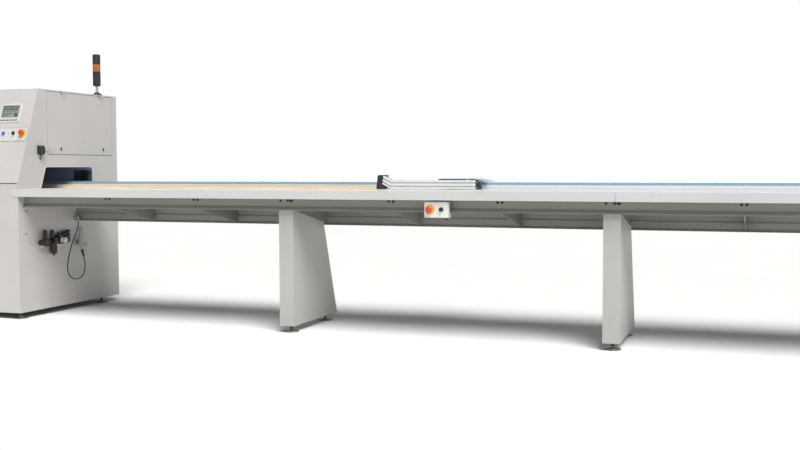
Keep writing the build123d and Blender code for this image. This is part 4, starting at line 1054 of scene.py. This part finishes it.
class PUSHSAW_OT_air_units(bpy.types.Operator):
    """Adds the shut-off valve, filter, regulators, gauges, valves and fittings"""
    bl_idname = "pushsaw.air_units"
    bl_label = "Compressed-air units"

    def execute(self, context):
        r, bowl = sizes().gauge_radius * MM, sizes().bowl_radius * MM
        x = UNIT_X
        # Shut-off valve: stepped brass body along Y with a hexagon at each end.
        valve = put(join(
            prism(polygon(17, 6), ((0, 1.5), (1.5, 0), (15, 0), (16.5, 1.5))),
            lathe(((13, 16), (18, 18), (24, 24), (26, 34), (26, 46), (24, 54), (19, 62),
                   (17, 66)), 40),
            prism(polygon(19, 6), ((65, 1.5), (66.5, 0), (78, 0), (79.5, 1.5))),
            lathe(((14, 79), (14, 90), (12, 92)), 28)), "y", (x, 186, 513))
        outlet = put(join(lathe(((9, 0), (11, 2), (11, 10), (8, 12), (8, 18), (10, 19), (10, 27),
                                 (7, 29)), 28),), "x", (50, 262, 505))
        bonnet = put(lathe(((16, 0), (16, 5), (12, 8), (12, 16), (9, 17)), 28), "z",
                     (x, REGULATOR_Y, 534))
        coil = put(lathe(((15, 0), (15.6, 1), (15.6, 36), (14.4, 43), (11, 48), (8, 51),
                          (5, 52.5), (1, 53)), 36, flutes=4, depth=1.2, band=(0.5, 37)), "z",
                   (x, COIL_Y, 546))
        shut_stem = put(lathe(((9, -6), (9, 4)), 24), "y", (x, 183, 513))
        # Filter: squarish head, bowl with eight upright ribs, drain and its ring.
        head = put(bevelled(rounded((6, 58), (279, 331), 8), 497, 541, 3), "z")
        bowl_shape = put(lathe(((bowl - 1, 500), (bowl, 498), (bowl, 493), (bowl - 2, 491),
                                (bowl - 1.5, 488), (bowl - 1.5, 440), (bowl - 4, 431),
                                (bowl - 10, 427), (9, 426), (7, 424.5), (6, 424), (6, 416),
                                (4.5, 413), (1, 412.2))[::-1], 64, flutes=8, depth=2.4,
                               band=(430, 489)), "z", (x, BOWL_Y, 0))
        # Regulator, the plated manifold beside it and its gauge.
        body = put(bevelled(rounded((7, 55), (333, 371), 6), 491, 558, 3), "z")
        top = put(lathe(((15, 0), (15, 5), (13, 7), (13, 15), (11, 17.5), (1, 18)), 32,
                        flutes=12, depth=1.0, band=(6, 16)), "z", (x + 2, 352, 557))
        manifold = put(bevelled(rounded((14, 64), (373, 405), 3), 502, 536, 1.5), "z")
        ports = repeat(put(push_fitting(6, 12)[0], "x"), [(63, y, 519) for y in (381, 397)])
        # Three small solenoid valves over the manifold, each a step higher.
        valves, plugs, silver = [], [], []
        for n, y in enumerate((378, 410, 442)):
            high = 548 + 9 * n
            block = bevelled(rounded((8, 44), (y, y + 26), 3), 500 if n else 537, high, 1.5)
            valves.append(put(block, "z"))
            plugs.append(put(bevelled(rounded((12, 40), (y + 3, y + 24), 4), high + 0.5, high + 24,
                                      2), "z"))
            plugs.append(put(bevelled(rounded((16, 50), (y + 6, y + 20), 3), high + 10, high + 22,
                                      1.5), "z"))
            silver.append(put(lathe(((4, 0), (4, 3), (2.5, 4), (1, 4.1)), 16), "z",
                              (24, y + 13, high + 24)))
            if n:
                fitting, release = push_fitting(5.5, 13)
                silver.append(put(fitting, "-z", (30, y + 13, 500)))
                plugs.append(put(release, "-z", (30, y + 13, 500)))
                silver.append(put(fitting, "x", (44, y + 13, high - 18)))
                plugs.append(put(release, "x", (44, y + 13, high - 18)))
        silencer = put(lathe(((4, 0), (6, 1), (6, 14), (4, 17), (1, 18)), 24, flutes=10,
                             depth=0.8, band=(1, 15)), "-z", (x, 390, 502))
        # Rear unit: line regulator on a bracket, ringed bonnet and side fittings.
        rear = put(bevelled(rounded((6, 48), (586, 626), 7), 466, 512, 3), "z")
        rings = [(17, 512), (17, 516), (15, 517.5), (15, 520)]
        bonnet_profile = [(17, 508)] + [(rr, z + 9 * k) for k in range(5) for rr, z in rings]
        ringed = put(lathe(bonnet_profile + [(14, 562), (12, 566), (12, 571.5)], 40), "z",
                     (x, 606, 0))
        arm = slab((22, 48), (622, 650), (459, 473), 3, 1.2)
        plate = put(bevelled(rounded((572, 652), (470, 502), 4), 0.3, 5, 0.8), "x")
        bolts = repeat(put(hex_bolt(8, 4, 1), "x"), [(5, 640, 486), (5, 579, 486)])
        fitting, release = push_fitting(7, 17)
        sides = [put(fitting, "-y", (28, 587, 490)), put(fitting, "y", (28, 626, 486)),
                 put(lathe(((7, 0), (7, 10), (5, 12)), 20), "-z", (40, 616, 470))]
        releases = [put(release, "-y", (28, 587, 490)), put(release, "y", (28, 626, 486))]
        bracket = put(bevelled(rounded((190, 468), (480, 494), 3), 0.3, 4.5, 0.8), "x")
        fixings = repeat(put(hex_bolt(8, 4, 1), "x"), [(4.5, 460, 487)])
        make("air_unit_bodies", {
            "dull_brass": [valve, outlet, silencer],
            "moulded_black": [bonnet, coil, head, body, top, *valves, *plugs, *releases],
            "bright_zinc": [shut_stem, manifold, ports, *silver, *sides, bolts, bracket, fixings],
            "powder_coat_inner": [rear, ringed, plate, arm]},
            "machine", ("air_treatment",))
        make("air_filter_bowl", {"moulded_black": [bowl_shape]}, "machine",
             ("filter_bowl",))
        parts = {"bright_zinc": [], "dial_enamel": [], "crystal_fields": [], "gauge_glass": []}
        for place in ((60, *FRONT_GAUGE), (54, *REAR_GAUGE)):
            for finish, shape in zip(parts, gauge(r, 12)):
                parts[finish].append(put(shape, "x", place))
        make("air_gauges", parts, "machine", ("pressure_gauges",))
        make("regulator_cap", {"moulded_black": [put(knob(15, 52), "z", (x, REGULATOR_Y, 550.3))]},
             "air_regulator", ("regulator_knob",))
        make("line_cap", {"powder_coat_inner": [put(knob(17, 30), "z", (x, 606, 572.3))]},
             "line_regulator", ("line_knob",))
        grip = put(knob(22, 28, 12), "-y", (x, 179.4, 513))
        make("inlet_cap", {"moulded_black": [grip]}, "air_inlet_valve",
             ("inlet_knob",))
        return {"FINISHED"}


# ---- Pusher, carriage, fence and drive ----
ARM_START, ARM_END, ARM_Y = 2503, 3065, 500
# A T-slot: half its mouth, half its chamber, its depth and its lip.
SLOT_MOUTH, SLOT_CHAMBER, SLOT_DEPTH, SLOT_LIP = 4, 8, 11, 2


def slotted(front, back, low, high, slots):
    """Section of a slotted extrusion in Y and Z, anticlockwise seen from +X: each T-slot of the
    front face is a lip, a wider chamber and a flat floor."""
    line = [(front + 1, low), (back - 1, low), (back, low + 1), (back, high - 1),
            (back - 1, high), (front + 1, high), (front, high - 1)]
    for z in sorted(slots, reverse=True):
        corners = ((0, SLOT_MOUTH), (SLOT_LIP, SLOT_MOUTH), (SLOT_LIP, SLOT_CHAMBER),
                   (SLOT_DEPTH, SLOT_CHAMBER))
        line += [(front + y, z + up) for y, up in corners]
        line += [(front + y, z - up) for y, up in reversed(corners)]
    return np.array(line + [(front, low + 1)], float)


class PUSHSAW_OT_pusher(bpy.types.Operator):
    """Adds the slotted aluminium arm with its inclined neck, the black head and the end cap"""
    bl_idname = "pushsaw.pusher"
    bl_label = "Pusher"

    def execute(self, context):
        # The arm's section stands upright at each X; the neck shears it upwards to the head.
        section = slotted(ARM_Y, ARM_Y + 45, 893, 949, (909, 932))
        stations = ((2440, 31), (ARM_START, 0), (ARM_END, 0))
        arm = skin([np.column_stack([np.full(len(section), x), section[:, 0],
                                     section[:, 1] + rise]) for x, rise in stations])
        keys = [slab((x - 10, x + 10), (ARM_Y + 14, ARM_Y + 34), (948.6, 952), 2, 0.8)
                for x in (ARM_START + 60, ARM_END - 60)]
        screws = repeat(button_head(4, 2, 14), [(x, ARM_Y + 24, 951.8)
                                                for x in (ARM_START + 60, ARM_END - 60)])
        make("slotted_arm", {"anodised_aluminium": [arm, *keys], "blackened_steel": [screws]},
             "pusher", ("pusher_arm",))
        # Head: leaning block seen along Y, with a brown pad on its pushing face.
        lean = np.array(((2404, 891), (2441, 891), (2446, 936), (2451, 978), (2448, 981),
                         (2413, 981), (2410, 978)), float)
        block = put(bevelled(lean, -596, -ARM_Y, 2), "-y")
        pad = np.array(((2401, 892), (2404.5, 892), (2412.5, 976), (2409.2, 976)), float)
        face = put(bevelled(pad, -594, -ARM_Y - 2, 0.8), "-y")
        foot = put(bevelled(np.array(((2404, 890.4), (2440, 890.4), (2441, 895), (2404.4, 895)),
                                     float), -594, -ARM_Y - 2, 0.5), "-y")
        plate = put(bevelled(np.array(((2443, 905), (2447, 905), (2453, 960), (2449, 960)), float),
                             -ARM_Y - 56, -ARM_Y - 48, 0.6), "-y")
        bolts = repeat(put(button_head(4, 2.4, 14), "x"), [(2446, 562, 925), (2449, 562, 955),
                                                           (2446, 582, 925), (2449, 582, 955)])
        make("push_head", {"moulded_black": [block], "brown_rubber": [face, foot],
                           "blackened_steel": [plate, bolts]},
             "pusher", ("pusher_head",))
        cap = np.array(((ARM_END - 1, 892.5), (ARM_END + 32, 892.5), (ARM_END + 32, 903),
                        (ARM_END + 7, 949), (ARM_END - 1, 949.6)), float)
        wedge = put(bevelled(cap, -ARM_Y - 45.4, -ARM_Y + 0.4, 1.8), "-y")
        screws = put(repeat(button_head(3, 1.6, 12), [(ARM_END + 8, 903, 0),
                                                      (ARM_END + 8, 936, 0)]),
                     "-y", (0, ARM_Y - 0.2, 0))
        make("arm_cap", {"moulded_black": [wedge], "bright_zinc": [screws]}, "pusher",
             ("arm_end_cap",))
        return {"FINISHED"}


class PUSHSAW_OT_carriage(bpy.types.Operator):
    """Adds the carriage's guide-block seals, grease nipples, screws, belt clamp and hood edging"""
    bl_idname = "pushsaw.carriage"
    bl_label = "Carriage details"

    def execute(self, context):
        seals, nipples, screws = [], [], []
        for z in (790, 880):
            for x in (2837, 2999):
                for side in (-1, 1):
                    seals.append(slab((x + side * 32 - 2, x + side * 32 + 2), (725.5, 751),
                                      (z - 21, z - 8.6), 0.8, 0.6))
                    seals.append(slab((x + side * 32 - 2, x + side * 32 + 2), (725.5, 751),
                                      (z + 8.6, z + 21), 0.8, 0.6))
                screws += [(x + dx, 0, z + dz) for dx in (-18, 18) for dz in (-14, 14)]
                nipples.append(put(lathe(((3, 0), (3, 4), (2, 5), (2.6, 6.5), (1, 8)), 14), "-x",
                                   (x - 34, 738, z + 14)))
        heads = put(repeat(button_head(4.2, 3, 14), [(-x, z, 0) for x, _, z in screws]), "y",
                    (0, 762, 0))
        clamp = slab((2896, 2954), (741.5, 751.5), (819, 851), 1.5, 0.8)
        caps = repeat(button_head(4, 2.6, 14), [(x, y, 948) for x in (2868, 2982)
                                                for y in (700, 742)])
        make("guide_block_seals", {"black_rubber": seals, "dull_brass": nipples,
                                   "blackened_steel": [heads, caps], "bright_zinc": [clamp]},
             "pusher")
        # Rolled edging under the hood's front edge, and four screws on its rear skirt.
        edging = pipe(np.column_stack([np.linspace(2797, 3039, 7), np.full(7, 580.5),
                                       np.full(7, 936.5)]), 2.2, 10)
        skirt = put(repeat(button_head(4, 2.2, 14), [(-x, z, 0) for x in (2817, 3019)
                                                     for z in (830, 925)]), "y", (0, 790, 0))
        make("hood_edging", {"black_rubber": [edging], "bright_zinc": [skirt]}, "pusher")
        return {"FINISHED"}


class PUSHSAW_OT_fence_and_table(bpy.types.Operator):
    """Adds rows of screws on rails, fence and table, frame bolts, and leg plates"""
    bl_idname = "pushsaw.fence_and_table"
    bl_label = "Fence, rails and table"

    def execute(self, context):
        pitch = sizes().rail_pitch * MM
        count = int((5960 - 150) / pitch)
        rail = [(-(180 + pitch * n), z, 0) for n in range(count) for z in (790, 880)]
        plug = lathe(((3.6, -0.2), (3.6, 0.35), (2.2, 0.4), (1.8, 0.1)), 8)
        top = [(x, 661, 934) for x in range(300, 6000, 600)]
        fence = [(x, 620, 917) for x in range(-400, 6000, 400)]
        ends = [slab((6088, 6094), (600, 722), (760, 934), 3, 1.5)]
        make("rail_screws", {
            "blackened_steel": [put(repeat(plug, rail), "y", (0, 737, 0)),
                                repeat(button_head(4, 2, 12), top + fence)],
            "moulded_black": ends}, "machine")
        # Bolt pairs where legs, beams and brackets meet, on the beam's web and under the lip.
        web = [(x + dx, 826, 0) for x in LEG_CENTRES for dx in (-34, 34)]
        web += [(666.7 * n + dx, 826, 0) for n in range(1, 9) for dx in (-12, 16)]
        front = put(repeat(hex_bolt(8, 4, 1.2), web), "-y", (0, 45, 0))
        rear = put(repeat(hex_bolt(8, 4, 1.2), [(-x, z, 0) for x, z, _ in web]), "y",
                   (0, 600, 0))
        feet = [(x + dx, y, 43) for x in LEG_CENTRES for y in LEG_FEET_YS for dx in (-34, 34)]
        pads = [slab((x - 44, x + 44), (y - 44, y + 44), (38.5, 43.2), 6, 1)
                for x in LEG_CENTRES for y in LEG_FEET_YS]
        under = put(repeat(hex_bolt(8, 4, 0), [(x, -y, -38.5) for x, y, _ in feet]), "-z")
        make("frame_bolts", {"blackened_steel": [under, front, rear],
                             "powder_coat_legs": pads}, "machine")
        # Fascia: joint cover behind the seam, and rivets along the return flange.
        strip = slab((3990, 4014), (-24.8, -22), (842, 888), 1, 0.4)
        rivets = put(repeat(lathe(((3, 0), (2.6, 0.9), (1, 1.2)), 12),
                            [(x, -10, 0) for x in range(200, 6100, 300)]), "-z", (0, 0, 838))
        make("fascia_fixings", {"powder_coat_light": [strip], "bright_zinc": [rivets]},
             "machine")
        return {"FINISHED"}

IDLER_X, DRIVE_X, PULLEY_Y, BELT_Z = 75, 6040, 758, 835


class PUSHSAW_OT_feed_drive(bpy.types.Operator):
    """Adds the toothed belt, its two pulleys and the gear motor's ribs, cowl and terminal box"""
    bl_idname = "pushsaw.feed_drive"
    bl_label = "Feed drive"

    def execute(self, context):
        # The belt's line is a stadium: two straights and two half circles, cut into quarter
        # pitches; the inner side stands in by a tooth's height on two of each four.
        pitch, r = sizes().belt_pitch * MM, 20.3
        run = DRIVE_X - IDLER_X
        total = 2 * run + math.tau * r
        n = 4 * int(total / pitch)
        s = np.arange(n) * total / n
        half = math.pi * r
        a = np.select([s < run, s < run + half, s < 2 * run + half],
                      [0 * s, (s - run) / r, 0 * s + math.pi],
                      math.pi + (s - 2 * run - half) / r)
        x = np.select([s < run, s < run + half, s < 2 * run + half],
                      [IDLER_X + s, DRIVE_X + 0 * s, DRIVE_X - (s - run - half)], IDLER_X + 0 * s)
        out = np.stack([np.sin(a), -np.cos(a)], -1)
        line = np.stack([x, np.full(n, PULLEY_Y)], -1)
        tooth = np.where((np.arange(n) % 4) < 2, 0.0, 1.0)[:, None]
        inner = line + out * (r + 1.1 - 1.0 * tooth)
        outer = line + out * (r + 2.5)
        rows = [np.column_stack([ring, np.full(n, z)]) for ring, z in
                ((outer, BELT_Z - 10), (outer, BELT_Z + 10), (inner, BELT_Z + 10),
                 (inner, BELT_Z - 10))]
        make("toothed_belt", {"black_rubber": [skin(rows, loop=True)]}, "machine",
             ("feed_belt",))
        wheel = join(lathe(((19.8, -12), (19.8, 12)), 96, flutes=24, depth=1.2, band=(-13, 13)),
                     lathe(((8, 12), (24, 12), (24, 14.6), (22, 15), (8, 15)), 48),
                     lathe(((8, -15), (22, -15), (24, -14.6), (24, -12), (8, -12)), 48))
        hub = lathe(((11, 15), (11, 21), (9.5, 22), (8.3, 22)), 32)
        shaft = lathe(((8, -80), (8, 24), (7, 25)), 28)
        make("drive_wheel", {"anodised_aluminium": [put(wheel, "z", (DRIVE_X, PULLEY_Y, BELT_Z)),
                                                    put(hub, "z", (DRIVE_X, PULLEY_Y, BELT_Z))],
                             "ground_steel": [put(shaft, "z", (DRIVE_X, PULLEY_Y, BELT_Z))]},
             "feed_drive_wheel", ("drive_pulley",))
        make("return_wheel", {"anodised_aluminium": [put(wheel, "z", (IDLER_X, PULLEY_Y, BELT_Z)),
                                                     put(hub, "z", (IDLER_X, PULLEY_Y, BELT_Z))]},
             "feed_return_wheel", ("idler_pulley",))
        # Motor along X: 32 cooling ribs as flutes of its barrel, a cowl and a terminal box.
        barrel = lathe(((43, 8), (45.5, 9), (45.5, 150), (43, 151)), 128, flutes=32, depth=3,
                       band=(8.5, 150.5))
        cowl = lathe(((46, -2), (46.5, 0), (46.5, 8), (40, 8.5)), 48)
        slots = [lathe(((rr, -2.4), (rr, -1.6), (rr - 3, -1.6), (rr - 3, -2.4)), 40, loop=True)
                 for rr in (38, 30, 22, 14)]
        box = slab((5840, 5900), (PULLEY_Y - 22, PULLEY_Y + 22), (765, 796), 3, 2)
        gland = put(lathe(((8, 0), (8, 4), (6.5, 8), (5, 9)), 20), "-x", (5840, PULLEY_Y, 780))
        where = (5790, PULLEY_Y, 722)
        make("feed_motor_details", {
            "hammered_enamel": [put(barrel, "x", where), box],
            "moulded_black": [put(cowl, "x", where), gland],
            "blackened_steel": [put(ring, "x", where) for ring in slots]},
            "machine")
        return {"FINISHED"}

ARBOR, BLADE_X = (560, 600), -620


class PUSHSAW_OT_saw_unit(bpy.types.Operator):
    """Adds the toothed blade with its slots, the motor's ribs and cowl, and the clamp's pad"""
    bl_idname = "pushsaw.saw_unit"
    bl_label = "Saw unit"

    def execute(self, context):
        # Blade outline: at each tooth the radius drops into a gullet, then climbs to the tip.
        teeth, tip = sizes().blade_teeth, sizes().blade_radius * MM
        share = np.array((0.0, 0.04, 0.14, 0.3, 0.5, 0.98))
        drop = np.array((0.0, 6.5, 9.0, 7.0, 2.5, 0.4))
        angle = ((np.arange(teeth)[:, None] + share) * math.tau / teeth).reshape(-1)
        radius = tip - np.tile(drop, teeth)
        outline = np.stack([radius * np.cos(angle), radius * np.sin(angle)], -1)
        n = len(outline)
        bore = polygon(14.8, n)
        plate = skin([np.column_stack([line, np.full(n, h)])
                      for line, h in ((outline, -1.6), (outline, 1.6), (bore, 1.6), (bore, -1.6))],
                     loop=True)
        slots = []
        for a in np.arange(5) * math.tau / 5:
            c, s = math.cos(a), math.sin(a)
            cut = slab((150, 212), (-1, 1), (-1.75, 1.75), 0.9, 0.1)
            slots.append((cut[0] @ np.array(((c, s, 0), (-s, c, 0), (0, 0, 1))), *cut[1:]))
        make("blade_plate", {"ground_steel": [put(plate, "x", (BLADE_X, *ARBOR))],
                             "blackened_steel": [put(join(*slots), "x", (BLADE_X, *ARBOR))]},
             "saw_spindle", ("saw_blade",))
        barrel = lathe(((96, 24), (99, 26), (99, 226), (96, 228)), 240, flutes=48, depth=6,
                       band=(25, 227))
        cowl = lathe(((96, 228), (98, 230), (98, 285), (90, 294), (40, 296), (39, 294)), 64)
        box = slab((-332, -228), (508, 612), (472, 516), 5, 2.5)
        place = (-417, *ARBOR)
        make("saw_motor_ribs", {"hammered_enamel": [put(barrel, "x", place), box],
                                "moulded_black": [put(cowl, "x", place)]},
             "saw_unit")
        # Ribbed rubber under the clamp's shoe, and the cylinder's tie-rod nuts on the bridge.
        ribs = [slab((-588 + 15 * k, -580 + 15 * k), (424, 576), (959.5, 963), 0.8, 0.6)
                for k in range(6)]
        make("clamp_pad", {"black_rubber": ribs}, "clamp")
        nuts = repeat(hex_bolt(13, 6, 1.5), [(-545 + dx, 480 + dy, 1240) for dx in (-24, 24)
                                             for dy in (-24, 24)])
        make("clamp_nuts", {"bright_zinc": [nuts]}, "machine")
        return {"FINISHED"}

# ---- Panel, registration and the run ----
OPERATORS = (
    PUSHSAW_OT_stage, PUSHSAW_OT_finishes, PUSHSAW_OT_air_hose, PUSHSAW_OT_feet,
    PUSHSAW_OT_signal_lamp, PUSHSAW_OT_console, PUSHSAW_OT_control_box, PUSHSAW_OT_openings,
    PUSHSAW_OT_hatch, PUSHSAW_OT_front_hood, PUSHSAW_OT_cabinet_details, PUSHSAW_OT_air_units,
    PUSHSAW_OT_pusher, PUSHSAW_OT_carriage, PUSHSAW_OT_fence_and_table, PUSHSAW_OT_feed_drive,
    PUSHSAW_OT_saw_unit,
)


class PUSHSAW_PT_panel(bpy.types.Panel):
    """Lists the saw's sizes, colours and operators"""
    bl_label = "Push-feed saw"
    bl_idname = "PUSHSAW_PT_panel"
    bl_space_type = "VIEW_3D"
    bl_region_type = "UI"
    bl_category = "Push saw"

    def draw(self, context):
        for title, group in (("Sizes", sizes()), ("Colours", colours())):
            box = self.layout.box()
            box.label(text=title)
            for key in group.bl_rna.properties.keys():
                if key not in ("rna_type", "name"):
                    box.prop(group, key)
        for operator in OPERATORS:
            self.layout.operator(operator.bl_idname)


CLASSES = (PushSawColours, PushSawSizes, *OPERATORS, PUSHSAW_PT_panel)


def register():
    for cls in CLASSES:
        bpy.utils.register_class(cls)
    bpy.types.Scene.push_saw_colours = PointerProperty(type=PushSawColours)
    bpy.types.Scene.push_saw_sizes = PointerProperty(type=PushSawSizes)


def unregister():
    del bpy.types.Scene.push_saw_sizes, bpy.types.Scene.push_saw_colours
    for cls in reversed(CLASSES):
        bpy.utils.unregister_class(cls)


def main():
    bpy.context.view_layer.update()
    register()
    bpy.ops.pushsaw.stage()
    bpy.ops.pushsaw.finishes()
    bpy.ops.pushsaw.air_hose()
    bpy.ops.pushsaw.feet()
    bpy.ops.pushsaw.signal_lamp()
    bpy.ops.pushsaw.console()
    bpy.ops.pushsaw.control_box()
    bpy.ops.pushsaw.openings()
    bpy.ops.pushsaw.hatch()
    bpy.ops.pushsaw.front_hood()
    bpy.ops.pushsaw.cabinet_details()
    bpy.ops.pushsaw.air_units()
    bpy.ops.pushsaw.pusher()
    bpy.ops.pushsaw.carriage()
    bpy.ops.pushsaw.fence_and_table()
    bpy.ops.pushsaw.feed_drive()
    bpy.ops.pushsaw.saw_unit()

if __name__ == "__main__":
    main()
